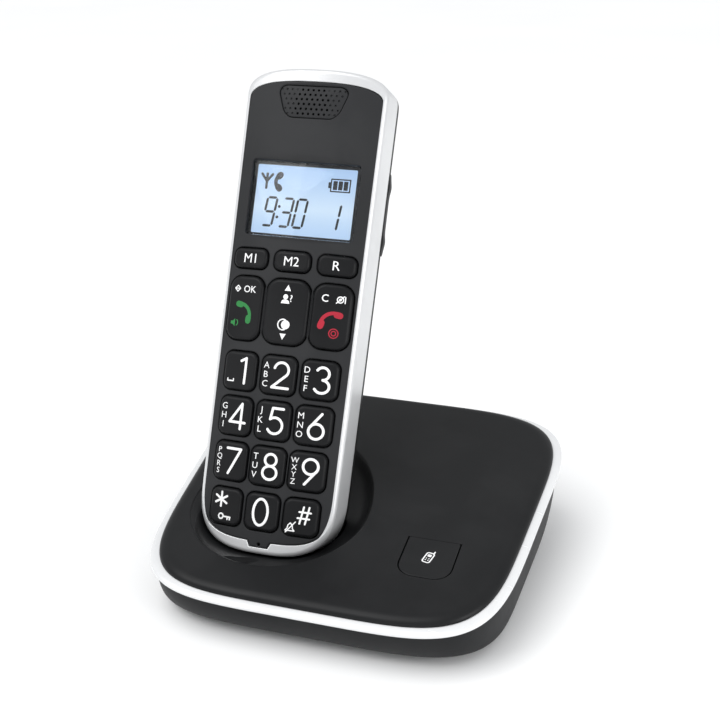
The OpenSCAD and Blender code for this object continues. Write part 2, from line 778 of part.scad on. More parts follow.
handset_front_panel();
handset_frame();
handset_rear_shell();
lcd_lens();
lcd_panel();
lcd_backlight();
earpiece_speaker();
handsfree_speaker();
microphone();
keypad_mat();
handset_board();
handset_antenna();
battery_cells();
battery_springs();
battery_plates();
charge_contacts();
handset_screws();
battery_door();
key(num_key(-1, -1));  // key_1
key(num_key(0, -1));  // key_2
key(num_key(1, -1));  // key_3
key(num_key(-1, 0));  // key_4
key(num_key(0, 0));  // key_5
key(num_key(1, 0));  // key_6
key(num_key(-1, 1));  // key_7
key(num_key(0, 1));  // key_8
key(num_key(1, 1));  // key_9
key(num_key(-1, 2));  // key_star
key(num_key(0, 2));  // key_0
key(num_key(1, 2));  // key_hash
key(call_key);  // key_call
key(end_key);  // key_end
key(soft_key(-1));  // key_m1
key(soft_key(0));  // key_m2
key(soft_key(1));  // key_recall
nav_rocker();
volume_rocker();
base_deck();
base_rim();
base_bottom_shell();
page_key();
page_switch();
base_board();
base_antenna();
charge_pin(-1);  // charge_pin_left
charge_pin(1);  // charge_pin_right
pin_springs();
pin_carrier();
line_socket();
power_socket();
rubber_feet();
base_screws();
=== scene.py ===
import json
import math

import bpy
import bmesh
import numpy as np
from mathutils import Matrix, Vector, kdtree
from mathutils.geometry import delaunay_2d_cdt


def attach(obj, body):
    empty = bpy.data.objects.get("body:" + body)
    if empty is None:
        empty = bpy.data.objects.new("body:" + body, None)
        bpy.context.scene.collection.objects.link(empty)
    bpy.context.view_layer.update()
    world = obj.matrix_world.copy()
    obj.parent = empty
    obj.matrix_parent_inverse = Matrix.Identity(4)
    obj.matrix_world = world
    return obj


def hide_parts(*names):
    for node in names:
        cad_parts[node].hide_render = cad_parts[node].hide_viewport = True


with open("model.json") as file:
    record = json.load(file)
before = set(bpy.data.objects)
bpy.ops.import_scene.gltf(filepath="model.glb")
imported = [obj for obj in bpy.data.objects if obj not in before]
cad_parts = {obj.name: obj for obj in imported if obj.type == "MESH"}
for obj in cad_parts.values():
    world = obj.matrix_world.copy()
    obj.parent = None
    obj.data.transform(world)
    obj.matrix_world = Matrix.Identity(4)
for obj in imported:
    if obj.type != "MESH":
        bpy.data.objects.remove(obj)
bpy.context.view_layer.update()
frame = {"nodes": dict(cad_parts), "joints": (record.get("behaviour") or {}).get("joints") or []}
mm = 0.001


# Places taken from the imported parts

def reach(node, axis):
    # How far a part reaches along a direction, lowest and highest
    values = [v.co.dot(axis) for v in frame["nodes"][node].data.vertices]
    return min(values), max(values)


def placeFrom(right, up, out, corner):
    # Turns a piece's own millimetres into the shared frame
    turn = Matrix((right, up, out)).transposed().to_4x4()
    return Matrix.Translation(corner) @ turn @ Matrix.Scale(mm, 4)


joints = {j["name"]: j for j in frame["joints"]}
across = Vector((1, 0, 0))
handsetUp = Vector(joints["handset_lift"]["axis"]).normalized()
handsetOut = across.cross(handsetUp)
shellSides = reach("handset_rear_shell", across)
handsetCorner = (across * (shellSides[0] + shellSides[1]) / 2
                 + handsetUp * reach("handset_rear_shell", handsetUp)[0]
                 + handsetOut * reach("handset_rear_shell", handsetOut)[0])
onHandset = placeFrom(across, handsetUp, handsetOut, handsetCorner)

deckFaces = [p for p in frame["nodes"]["base_deck"].data.polygons if p.normal.z > 0.9]
deckOut = max(deckFaces, key=lambda p: p.area).normal.normalized()
deckUp = deckOut.cross(across).normalized()
rimSpan = reach("base_rim", deckUp)
deckCorner = deckUp * (rimSpan[0] + rimSpan[1]) / 2 + deckOut * reach("base_deck", deckOut)[1]
onDeck = placeFrom(across, deckUp, deckOut, deckCorner)
onDesk = Matrix.Scale(mm, 4)


def localBox(node, place):
    # Centre and size of a part in a piece's own millimetres
    back = place.inverted()
    points = [back @ v.co for v in frame["nodes"][node].data.vertices]
    low = [min(p[k] for p in points) for k in range(3)]
    high = [max(p[k] for p in points) for k in range(3)]
    centre = [(a + b) / 2 for a, b in zip(low, high)]
    return centre, [b - a for a, b in zip(low, high)], low, high


# Outlines

def endedOutline(low, high, halfLow, halfHigh, lowEnd, highEnd, lowPower=3, highPower=3, steps=22):
    # Symmetric closed outline with rounded ends, from the bottom centre anticlockwise
    right = []
    for i in range(steps + 1):
        a = math.pi / 2 * (1 - i / steps)
        right.append((halfLow * math.cos(a) ** (2 / lowPower),
                      low + lowEnd - lowEnd * math.sin(a) ** (2 / lowPower)))
    for i in range(1, 12):
        t = i / 12
        right.append((halfLow + (halfHigh - halfLow) * t,
                      low + lowEnd + (high - highEnd - low - lowEnd) * t))
    for i in range(steps + 1):
        a = math.pi / 2 * i / steps
        right.append((halfHigh * math.cos(a) ** (2 / highPower),
                      high - highEnd + highEnd * math.sin(a) ** (2 / highPower)))
    right[0] = (0, right[0][1])
    right[-1] = (0, right[-1][1])
    return right + [(-x, y) for x, y in reversed(right[1:-1])]


def roundedBox(width, height, radius, x=0, y=0, steps=7):
    radius = max(radius, 0.05)
    points = []
    for corner in range(4):
        sx = 1 if corner in (0, 3) else -1
        sy = 1 if corner < 2 else -1
        for i in range(steps + 1):
            a = math.pi / 2 * (corner + i / steps)
            points.append((x + sx * (width / 2 - radius) + radius * math.cos(a),
                           y + sy * (height / 2 - radius) + radius * math.sin(a)))
    return points


def boxHole(width, height, radius, x, y, steps=7):
    return lambda o: roundedBox(width + 2 * o, height + 2 * o, radius + o, x, y, steps)


def roundHole(radius, x, y, steps=16):
    return lambda o: [(x + (radius + o) * math.cos(2 * math.pi * i / steps),
                       y + (radius + o) * math.sin(2 * math.pi * i / steps)) for i in range(steps)]


def signedPower(value, power):
    return math.copysign(abs(value) ** power, value)


# Mesh building

class Body:
    # Collects points and faces in a piece's own millimetres

    def __init__(self):
        self.points = []
        self.faces = []
        self.paint = []
        self.normals = {}

    def add(self, points, normals=None):
        start = len(self.points)
        self.points += [tuple(p) for p in points]
        if normals:
            self.normals.update({start + i: n for i, n in enumerate(normals)})
        return list(range(start, len(self.points)))

    def face(self, corners, paint=0):
        self.faces.append(tuple(corners))
        self.paint.append(paint)

    def bridge(self, one, two, paint=0, closed=True):
        count = len(one)
        for i in range(count if closed else count - 1):
            j = (i + 1) % count
            self.face((one[i], one[j], two[j], two[i]), paint)

    def cap(self, ring, paint=0):
        middle = [sum(self.points[i][k] for i in ring) / len(ring) for k in range(3)]
        centre = self.add([middle])[0]
        for i, point in enumerate(ring):
            self.face((point, ring[(i + 1) % len(ring)], centre), paint)

    def tube(self, rings, paint=0, capped=True):
        loops = [self.add(r) for r in rings]
        for one, two in zip(loops, loops[1:]):
            self.bridge(one, two, paint)
        if capped:
            self.cap(loops[0], paint)
            self.cap(loops[-1], paint)
        return loops

    def make(self, name, place, materials, crease=35):
        mesh = bpy.data.meshes.new(name)
        mesh.from_pydata([place @ Vector(p) for p in self.points], [], self.faces)
        for material in materials:
            mesh.materials.append(material)
        mesh.polygons.foreach_set("material_index", self.paint)
        tidyMesh(mesh, crease, merge=False)
        turn = place.to_3x3().normalized()
        if self.normals:
            chosen = [(0, 0, 0)] * len(mesh.loops)
            for p in mesh.polygons:
                if all(v in self.normals for v in p.vertices):
                    for k in p.loop_indices:
                        normal = Vector(self.normals[mesh.loops[k].vertex_index])
                        chosen[k] = tuple((turn @ normal).normalized())
            mesh.normals_split_custom_set(chosen)
        piece = bpy.data.objects.new(name, mesh)
        bpy.context.scene.collection.objects.link(piece)
        return piece


def tidyMesh(mesh, crease, merge=True):
    # Faces outwards, smooth inside each surface and sharp at the creases
    work = bmesh.new()
    work.from_mesh(mesh)
    if merge:
        bmesh.ops.remove_doubles(work, verts=work.verts, dist=2e-6)
    bmesh.ops.recalc_face_normals(work, faces=work.faces)
    limit = math.radians(crease)
    for face in work.faces:
        face.smooth = True
    for edge in work.edges:
        edge.smooth = len(edge.link_faces) == 2 and edge.calc_face_angle(0) < limit
    work.to_mesh(mesh)
    work.free()
    mesh.update()


def finish(piece, body, slot, *nodes):
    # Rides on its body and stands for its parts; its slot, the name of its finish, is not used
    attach(piece, body)
    if nodes:
        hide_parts(*nodes)
    return piece


def settle(piece, crease=None):
    # Turns the modifiers' result into a plain mesh
    seen = piece.evaluated_get(bpy.context.evaluated_depsgraph_get())
    mesh = bpy.data.meshes.new_from_object(seen)
    piece.modifiers.clear()
    piece.data = mesh
    if crease is not None:
        tidyMesh(mesh, crease)
    return piece


def fillArea(loops, spacing, extra=()):
    # Triangles between closed loops, with staggered points inside: points, triangles, points of each loop
    points = [p for loop in loops for p in loop]
    edges = []
    start = 0
    for loop in loops:
        edges += [(start + i, start + (i + 1) % len(loop)) for i in range(len(loop))]
        start += len(loop)
    near = kdtree.KDTree(len(points))
    for i, p in enumerate(points):
        near.insert((p[0], p[1], 0), i)
    near.balance()
    stepX, stepY = spacing
    low = [min(p[k] for p in loops[0]) for k in (0, 1)]
    high = [max(p[k] for p in loops[0]) for k in (0, 1)]
    rows = max(1, round((high[1] - low[1]) / stepY))
    columns = max(1, round((high[0] - low[0]) / stepX))
    inside = list(extra)
    for r in range(1, rows):
        for c in range(columns):
            x = low[0] + (c + (0.75 if r % 2 else 0.25)) * (high[0] - low[0]) / columns
            y = low[1] + r * (high[1] - low[1]) / rows
            if near.find((x, y, 0))[2] > 0.4 * min(stepX, stepY):
                inside.append((x, y))
    flat = [Vector(p) for p in points + inside]
    made = delaunay_2d_cdt(flat, edges, [], 0, 1e-6)
    places, origins = made[0], made[3]
    within = triangleTest(places, loops[:1])
    inHole = triangleTest(places, loops[1:])
    triangles = [t for t in made[2] if within(t) and not inHole(t)]
    where = {}
    for k, names in enumerate(origins):
        for n in names:
            where.setdefault(n, k)
    used = sorted({v for t in triangles for v in t} | {where[i] for i in range(len(points))})
    new = {v: i for i, v in enumerate(used)}
    loopPoints = []
    start = 0
    for loop in loops:
        loopPoints.append([new[where[start + i]] for i in range(len(loop))])
        start += len(loop)
    return ([tuple(places[v]) for v in used], [tuple(new[v] for v in t) for t in triangles], loopPoints)


def isInside(x, y, loop):
    inside = False
    for i, (ax, ay) in enumerate(loop):
        bx, by = loop[i - 1]
        if (ay > y) != (by > y) and x < (bx - ax) * (y - ay) / (by - ay) + ax:
            inside = not inside
    return inside


def triangleTest(places, loops):
    # Tells whether a triangle's middle lies in any of the loops
    boxes = [(min(p[0] for p in loop), max(p[0] for p in loop), min(p[1] for p in loop),
              max(p[1] for p in loop), loop)
             for loop in loops]

    def test(triangle):
        x = sum(places[v][0] for v in triangle) / 3
        y = sum(places[v][1] for v in triangle) / 3
        return any(a <= x <= b and c <= y <= d and isInside(x, y, loop) for a, b, c, d, loop in boxes)
    return test


def slopeNormal(surface, x, y, step=0.05):
    dx = (surface(x + step, y) - surface(x - step, y)) / (2 * step)
    dy = (surface(x, y + step) - surface(x, y - step)) / (2 * step)
    return Vector((-dx, -dy, 1)).normalized()


def outwardOf(points):
    # Sideways direction at each point of an anticlockwise loop
    count = len(points)
    result = []
    for i in range(count):
        a, b = points[i - 1], points[(i + 1) % count]
        result.append(Vector((b[1] - a[1], a[0] - b[0], 0)).normalized())
    return result


def plateSolid(body, outline, holes, top, bottom, spacing=(2, 6), roll=(0.4, 0.4), holeRoll=(0.3, 0.3),
               steps=3, paint=0):
    # Closed plate with rounded edges on a surface; its outline and holes are loops that grow by an offset
    families = [outline] + list(holes)
    rolls = [(-roll[0], roll[1])] + [(holeRoll[0], holeRoll[1])] * len(holes)
    loops = [f(r[0]) for f, r in zip(families, rolls)]
    points, triangles, boundary = fillArea(loops, spacing)
    first = body.add([(x, y, top(x, y)) for x, y in points], [slopeNormal(top, x, y) for x, y in points])[0]
    for t in triangles:
        body.face([first + v for v in t], paint)
    feet = []
    for k, (family, (side, drop)) in enumerate(zip(families, rolls)):
        ring = [first + v for v in boundary[k]]
        for s in range(1, steps + 1):
            a = math.pi / 2 * s / steps
            loop = family(side * (1 - math.sin(a)))
            sign = 1 if k == 0 else -1
            ways = outwardOf(loop)
            normals = [(slopeNormal(top, x, y) * math.cos(a) + w * sign * math.sin(a)).normalized()
                       for (x, y), w in zip(loop, ways)]
            nextRing = body.add([(x, y, top(x, y) - drop * (1 - math.cos(a))) for x, y in loop], normals)
            body.bridge(ring, nextRing, paint)
            ring = nextRing
        loop = family(0)
        foot = body.add([(x, y, bottom(x, y)) for x, y in loop])
        body.bridge(ring, foot, paint)
        feet.append(foot)
    points, triangles, boundary = fillArea([f(0) for f in families], (spacing[0] * 1.5, spacing[1] * 1.5))
    place = {}
    for loop, foot in zip(boundary, feet):
        place.update(dict(zip(loop, foot)))
    for i, (x, y) in enumerate(points):
        if i not in place:
            place[i] = body.add([(x, y, bottom(x, y))])[0]
    for t in triangles:
        body.face([place[v] for v in t], paint)


# Printed marks: thin shapes that lie on a surface

def ribbon(path, width):
    # Outline of a stroke with round ends
    path = [Vector(p) for p in path]
    count = len(path)
    left, right = [], []
    for i, p in enumerate(path):
        way = (path[min(i + 1, count - 1)] - path[max(i - 1, 0)]).normalized()
        side = Vector((-way.y, way.x)) * width / 2
        left.append(p + side)
        right.append(p - side)
    points = []
    for centre, edge in ((path[-1], right[-1] - path[-1]), (path[0], left[0] - path[0])):
        fan = []
        for k in range(1, 6):
            a = math.pi * k / 6
            fan.append(centre + Vector((edge.x * math.cos(a) - edge.y * math.sin(a),
                                        edge.x * math.sin(a) + edge.y * math.cos(a))))
        points.append(fan)
    return [tuple(p) for p in right + points[0] + left[::-1] + points[1]]


def arcPath(cx, cy, rx, ry, start, end, steps=14):
    return [(cx + rx * math.cos(math.radians(start + (end - start) * i / steps)),
             cy + ry * math.sin(math.radians(start + (end - start) * i / steps))) for i in range(steps + 1)]


def linePath(x0, y0, x1, y1, steps=3):
    return [(x0 + (x1 - x0) * i / steps, y0 + (y1 - y0) * i / steps) for i in range(steps + 1)]


def ringPaths(cx, cy, rx, ry=None):
    ry = rx if ry is None else ry
    return [arcPath(cx, cy, rx, ry, 90, 275), arcPath(cx, cy, rx, ry, 270, 455)]


# Each figure is one unit tall and stands on zero, its middle at x = 0
figureStrokes = {
    "0": ringPaths(0, 0.5, 0.27, 0.46),
    "1": [linePath(0.06, 0.04, 0.06, 0.95), linePath(0.06, 0.95, -0.14, 0.84)],
    "2": [arcPath(0, 0.69, 0.27, 0.27, 168, -38), linePath(0.213, 0.524, -0.31, 0.05),
          linePath(-0.31, 0.05, 0.31, 0.05)],
    "3": [arcPath(-0.02, 0.73, 0.23, 0.225, 150, -82), arcPath(-0.02, 0.275, 0.27, 0.235, 86, -152)],
    "4": [linePath(0.14, 0.04, 0.14, 0.95), linePath(0.14, 0.95, -0.32, 0.27),
          linePath(-0.32, 0.27, 0.31, 0.27)],
    "5": [linePath(0.26, 0.95, -0.14, 0.95), linePath(-0.14, 0.95, -0.21, 0.55),
          arcPath(-0.02, 0.33, 0.29, 0.29, 128, -148)],
    "6": ringPaths(0, 0.31, 0.27) + [linePath(-0.232, 0.44, 0.16, 0.95)],
    "7": [linePath(-0.28, 0.95, 0.28, 0.95), linePath(0.28, 0.95, -0.16, 0.05)],
    "8": ringPaths(0, 0.735, 0.215) + ringPaths(0, 0.28, 0.265, 0.24),
    "9": ringPaths(0, 0.69, 0.27) + [linePath(0.232, 0.56, -0.16, 0.05)],
    "star": [linePath(0, 0.06, 0, 0.94), linePath(-0.38, 0.28, 0.38, 0.72),
             linePath(-0.38, 0.72, 0.38, 0.28)],
    "hash": [linePath(-0.2, 0.04, -0.04, 0.96), linePath(0.1, 0.04, 0.26, 0.96),
             linePath(-0.33, 0.33, 0.31, 0.33), linePath(-0.27, 0.67, 0.37, 0.67)],
}


def figure(name, size, x, y, width):
    # A stroked figure with its middle at x, y
    return [ribbon([(x + size * p, y + size * (q - 0.5)) for p, q in path], width)
            for path in figureStrokes[name]]


def wordShapes(word, size, x, y, step=None, bold=0.0):
    # Flat shapes of a short word or, with a step, of letters set under each other
    shapes = []
    for i, part in enumerate(word if step else [word]):
        curve = bpy.data.curves.new("letters", "FONT")
        curve.body = part
        curve.size = size * 1.38
        curve.align_x = "CENTER"
        curve.align_y = "CENTER"
        curve.offset = bold
        curve.resolution_u = 3
        holder = bpy.data.objects.new("letters", curve)
        bpy.context.scene.collection.objects.link(holder)
        mesh = bpy.data.meshes.new_from_object(holder.evaluated_get(bpy.context.evaluated_depsgraph_get()))
        down = (len(word) - 1) / 2 * step - i * step if step else 0
        middle = [(min(c) + max(c)) / 2 for c in zip(*[v.co[:2] for v in mesh.vertices])]
        for p in mesh.polygons:
            shapes.append([(mesh.vertices[v].co.x - middle[0] + x,
                            mesh.vertices[v].co.y - middle[1] + y + down)
                           for v in p.vertices])
        bpy.data.objects.remove(holder)
        bpy.data.curves.remove(curve)
        bpy.data.meshes.remove(mesh)
    return shapes


def printMark(body, shapes, surface, lift=0.025, sink=0.04, paint=0):
    # Joins overlapping flat shapes into one thin closed film on a surface
    points, faces = [], []
    for shape in shapes:
        faces.append(list(range(len(points), len(points) + len(shape))))
        points += [Vector(p) for p in shape]
    made = delaunay_2d_cdt(points, [], faces, 0, 1e-5)
    places = made[0]
    within = triangleTest(places, shapes)
    triangles = [t for t in made[2] if within(t)]
    used = sorted({v for t in triangles for v in t})
    high = dict(zip(used, body.add([(*places[v], surface(*places[v]) + lift) for v in used])))
    low = dict(zip(used, body.add([(*places[v], surface(*places[v]) - sink) for v in used])))
    sides = {}
    for t in triangles:
        body.face([high[v] for v in t], paint)
        body.face([low[v] for v in reversed(t)], paint)
        for a, b in zip(t, t[1:] + t[:1]):
            if (b, a) in sides:
                del sides[(b, a)]
            else:
                sides[(a, b)] = True
    for a, b in sides:
        body.face((high[b], high[a], low[a], low[b]), paint)


# Finishes

def nodeGroup(name, inputs, outputs):
    group = bpy.data.node_groups.new(name, "ShaderNodeTree")
    for label, kind, value in inputs:
        socket = group.interface.new_socket(label, in_out="INPUT", socket_type=kind)
        if value is not None:
            socket.default_value = value
    for label, kind in outputs:
        group.interface.new_socket(label, in_out="OUTPUT", socket_type=kind)
    return group, group.nodes.new("NodeGroupInput"), group.nodes.new("NodeGroupOutput")


def wire(tree, source, node, label):
    tree.links.new(source, node.inputs[label])
    return node


def addNode(tree, kind, **settings):
    node = tree.nodes.new(kind)
    for key, value in settings.items():
        if key in node.bl_rna.properties:
            setattr(node, key, value)
        else:
            node.inputs[key.replace("_", " ")].default_value = value
    return node


def mathNode(tree, operation, a, b=0.5, c=None):
    node = tree.nodes.new("ShaderNodeMath")
    node.operation = operation
    for socket, value in zip(node.inputs, (a, b, c)):
        if isinstance(value, bpy.types.NodeSocket):
            tree.links.new(value, socket)
        elif value is not None:
            socket.default_value = value
    return node.outputs[0]


def mixColour(tree, factor, one, two, blend="MIX"):
    node = tree.nodes.new("ShaderNodeMix")
    node.data_type = "RGBA"
    node.blend_type = blend
    for socket, value in ((node.inputs[0], factor), (node.inputs[6], one), (node.inputs[7], two)):
        if isinstance(value, bpy.types.NodeSocket):
            tree.links.new(value, socket)
        else:
            socket.default_value = value
    return node.outputs[2]


def makeGrain():
    # Fine moulded texture: a height, and a mask of the pits
    tree, enter, leave = nodeGroup("mouldedGrain",
                                   [("Scale", "NodeSocketFloat", 2500), ("Coarse", "NodeSocketFloat", 0.3)],
                                   [("Height", "NodeSocketFloat"), ("Pits", "NodeSocketFloat")])
    place = tree.nodes.new("ShaderNodeTexCoord").outputs["Object"]
    fine = addNode(tree, "ShaderNodeTexNoise", Detail=3, Roughness=0.6)
    cells = addNode(tree, "ShaderNodeTexVoronoi", feature="SMOOTH_F1")
    for node, share in ((fine, 1), (cells, 0.6)):
        wire(tree, place, node, "Vector")
        wire(tree, mathNode(tree, "MULTIPLY", enter.outputs["Scale"], share), node, "Scale")
    pits = mathNode(tree, "SUBTRACT", 1, cells.outputs["Distance"])
    height = tree.nodes.new("ShaderNodeMix")
    wire(tree, enter.outputs["Coarse"], height, 0)
    wire(tree, fine.outputs["Fac"], height, 2)
    wire(tree, pits, height, 3)
    wire(tree, height.outputs[0], leave, "Height")
    wire(tree, pits, leave, "Pits")
    return tree


def makeDrift():
    # Slow drift between two colours, with fine speckle
    tree, enter, leave = nodeGroup(
        "colourDrift",
        [("One", "NodeSocketColor", None), ("Two", "NodeSocketColor", None),
         ("Scale", "NodeSocketFloat", 40), ("Speckle", "NodeSocketFloat", 0.1)],
        [("Colour", "NodeSocketColor"), ("Mask", "NodeSocketFloat")])
    place = tree.nodes.new("ShaderNodeTexCoord").outputs["Object"]
    slow = addNode(tree, "ShaderNodeTexNoise", Detail=4, Roughness=0.5, Distortion=0.4)
    dots = addNode(tree, "ShaderNodeTexNoise", Detail=2, Scale=3200)
    for node in (slow, dots):
        wire(tree, place, node, "Vector")
    wire(tree, enter.outputs["Scale"], slow, "Scale")
    spread = addNode(tree, "ShaderNodeMapRange", interpolation_type="SMOOTHSTEP", From_Min=0.36,
                     From_Max=0.64)
    wire(tree, slow.outputs["Fac"], spread, "Value")
    grain = mathNode(tree, "MULTIPLY", mathNode(tree, "SUBTRACT", dots.outputs["Fac"], 0.5),
                     enter.outputs["Speckle"])
    mask = mathNode(tree, "ADD", spread.outputs["Result"], mathNode(tree, "MULTIPLY", grain, 4))
    wire(tree, mixColour(tree, mask, enter.outputs["One"], enter.outputs["Two"]), leave, "Colour")
    wire(tree, spread.outputs["Result"], leave, "Mask")
    return tree


def makeHandling():
    # Faint smears and hairline scratches left by hands
    tree, enter, leave = nodeGroup(
        "handlingMarks",
        [("Roughness", "NodeSocketFloat", 0.4), ("Smear", "NodeSocketFloat", 0.1),
         ("Scratch", "NodeSocketFloat", 0.05)],
        [("Roughness", "NodeSocketFloat"), ("Lines", "NodeSocketFloat")])
    place = tree.nodes.new("ShaderNodeTexCoord").outputs["Object"]
    smear = addNode(tree, "ShaderNodeTexNoise", Scale=55, Detail=5, Roughness=0.62, Distortion=1.2)
    turned = addNode(tree, "ShaderNodeMapping", Rotation=(0.3, 0.5, 0.9), Scale=(60, 900, 300))
    lines = addNode(tree, "ShaderNodeTexNoise", Scale=1, Detail=2)
    wire(tree, place, smear, "Vector")
    wire(tree, place, turned, "Vector")
    wire(tree, turned.outputs["Vector"], lines, "Vector")
    thin = addNode(tree, "ShaderNodeMapRange", From_Min=0.68, From_Max=0.74)
    wire(tree, lines.outputs["Fac"], thin, "Value")
    soft = mathNode(tree, "MULTIPLY", mathNode(tree, "SUBTRACT", smear.outputs["Fac"], 0.5),
                    enter.outputs["Smear"])
    cut = mathNode(tree, "MULTIPLY", thin.outputs["Result"], enter.outputs["Scratch"])
    rough = mathNode(tree, "ADD", enter.outputs["Roughness"], mathNode(tree, "ADD", soft, cut))
    wire(tree, rough, leave, "Roughness")
    wire(tree, thin.outputs["Result"], leave, "Lines")
    return tree


grainGroup = makeGrain()
driftGroup = makeDrift()
handlingGroup = makeHandling()


def place(tree, group, **values):
    node = tree.nodes.new("ShaderNodeGroup")
    node.node_tree = group
    for key, value in values.items():
        node.inputs[key].default_value = value
    return node


def newMaterial(name, **sockets):
    material = bpy.data.materials.new(name)
    material.use_nodes = True
    shader = material.node_tree.nodes["Principled BSDF"]
    for key, value in sockets.items():
        shader.inputs[key.replace("_", " ")].default_value = value
    return material, material.node_tree, shader


def moulded(name, one, two, rough=0.45, smear=0.12, scratch=0.06, grain=2500, depth=0.02, coarse=0.3,
            speckle=0.1, drift=40, metallic=0.0, **sockets):
    # A moulded or painted finish; depth is the texture's height in millimetres
    material, tree, shader = newMaterial(name, **sockets)
    colour = place(tree, driftGroup, One=(*one, 1), Two=(*two, 1), Scale=drift, Speckle=speckle)
    marks = place(tree, handlingGroup, Roughness=rough, Smear=smear, Scratch=scratch)
    texture = place(tree, grainGroup, Scale=grain, Coarse=coarse)
    bump = addNode(tree, "ShaderNodeBump", Strength=0.6, Distance=depth * mm)
    wire(tree, colour.outputs["Colour"], shader, "Base Color")
    wire(tree, marks.outputs["Roughness"], shader, "Roughness")
    wire(tree, texture.outputs["Height"], bump, "Height")
    wire(tree, bump.outputs["Normal"], shader, "Normal")
    shader.inputs["Metallic"].default_value = metallic
    return material


panelBlack = moulded("panelBlack", (0.022, 0.0225, 0.024), (0.027, 0.0275, 0.029), rough=0.52, grain=3200,
                     depth=0.03,
                     coarse=0.5, Specular_IOR_Level=0.16)
keyBlack = moulded("keyBlack", (0.008, 0.0082, 0.009), (0.0105, 0.0107, 0.0115), rough=0.42, smear=0.16,
                   grain=4200,
                   depth=0.012, Specular_IOR_Level=0.14)
shellBlack = moulded("shellBlack", (0.011, 0.0113, 0.012), (0.0145, 0.015, 0.0155), rough=0.47, grain=2600,
                     depth=0.03,
                     coarse=0.6, Specular_IOR_Level=0.15)
deckBlack = moulded("deckBlack", (0.0095, 0.0098, 0.0105), (0.0125, 0.0128, 0.0135), rough=0.36, smear=0.14,
                    grain=3000,
                    depth=0.012, Specular_IOR_Level=0.14)
footBlack = moulded("footShellBlack", (0.013, 0.0133, 0.0142), (0.017, 0.0173, 0.0182), rough=0.5,
                    grain=2200, depth=0.035,
                    coarse=0.6, Specular_IOR_Level=0.15)
frameSilver = moulded("frameSilver", (0.6, 0.604, 0.612), (0.65, 0.654, 0.66), rough=0.3, smear=0.08,
                      grain=5200,
                      depth=0.004, speckle=0.25, metallic=0.25, Coat_Weight=0.3, Coat_Roughness=0.15)
rimSilver = moulded("rimSilver", (0.72, 0.724, 0.732), (0.76, 0.764, 0.77), rough=0.26, smear=0.08,
                    grain=5200,
                    depth=0.003, speckle=0.25, metallic=0.2, Coat_Weight=0.4, Coat_Roughness=0.1)
printWhite = moulded("printWhite", (0.86, 0.86, 0.86), (0.8, 0.8, 0.8), rough=0.55, grain=4000, depth=0.006)
printGreen = moulded("printGreen", (0.008, 0.2, 0.035), (0.006, 0.17, 0.03), rough=0.5, grain=4000,
                     depth=0.006)
printRed = moulded("printRed", (0.4, 0.004, 0.024), (0.35, 0.003, 0.02), rough=0.5, grain=4000, depth=0.006)
rubberBlack = moulded("rubberBlack", (0.012, 0.012, 0.012), (0.02, 0.02, 0.02), rough=0.85, grain=1800,
                      depth=0.05,
                      coarse=0.7, Specular_IOR_Level=0.25)
socketBlack = moulded("socketBlack", (0.02, 0.02, 0.022), (0.028, 0.028, 0.03), rough=0.5, grain=3000,
                      depth=0.01)
whitePlastic = moulded("whitePlastic", (0.74, 0.74, 0.72), (0.68, 0.68, 0.66), rough=0.45, grain=2000,
                       depth=0.01)
matGrey = moulded("matGrey", (0.1, 0.1, 0.105), (0.13, 0.13, 0.135), rough=0.75, grain=1500, depth=0.03)
cellWrap = moulded("cellWrap", (0.03, 0.2, 0.07), (0.045, 0.26, 0.09), rough=0.3, grain=900, depth=0.02,
                   drift=90)
steelPlain = moulded("steelPlain", (0.56, 0.56, 0.57), (0.66, 0.66, 0.67), rough=0.3, smear=0.25, scratch=0.2,
                     grain=1600, depth=0.008, metallic=1.0)
goldPlated = moulded("goldPlated", (0.78, 0.55, 0.2), (0.86, 0.64, 0.28), rough=0.22, smear=0.2, scratch=0.15,
                     grain=2000, depth=0.004, metallic=1.0)


def makeBoardGreen():
    # Solder mask over a lattice of tracks
    material, tree, shader = newMaterial("boardGreen")
    where = tree.nodes.new("ShaderNodeTexCoord").outputs["Object"]
    tracks = addNode(tree, "ShaderNodeTexBrick", Scale=180, squash=0.6, Color1=(0.012, 0.1, 0.04, 1),
                     Color2=(0.018, 0.14, 0.055, 1), Mortar=(0.035, 0.24, 0.09, 1), Mortar_Size=0.06)
    wire(tree, where, tracks, "Vector")
    wire(tree, tracks.outputs["Color"], shader, "Base Color")
    marks = place(tree, handlingGroup, Roughness=0.35, Smear=0.15, Scratch=0.05)
    wire(tree, marks.outputs["Roughness"], shader, "Roughness")
    bump = addNode(tree, "ShaderNodeBump", Strength=0.5, Distance=0.03 * mm)
    wire(tree, tracks.outputs["Fac"], bump, "Height")
    wire(tree, bump.outputs["Normal"], shader, "Normal")
    return material


def makeLensClear():
    # Clear cover with a faint film of finger marks
    material, tree, shader = newMaterial("lensClear", Base_Color=(0.97, 0.985, 1, 1), IOR=1.3,
                                         Transmission_Weight=1.0,
                                         Metallic=0.0, Specular_IOR_Level=0.3)
    marks = place(tree, handlingGroup, Roughness=0.02, Smear=0.05, Scratch=0.04)
    wire(tree, marks.outputs["Roughness"], shader, "Roughness")
    return material


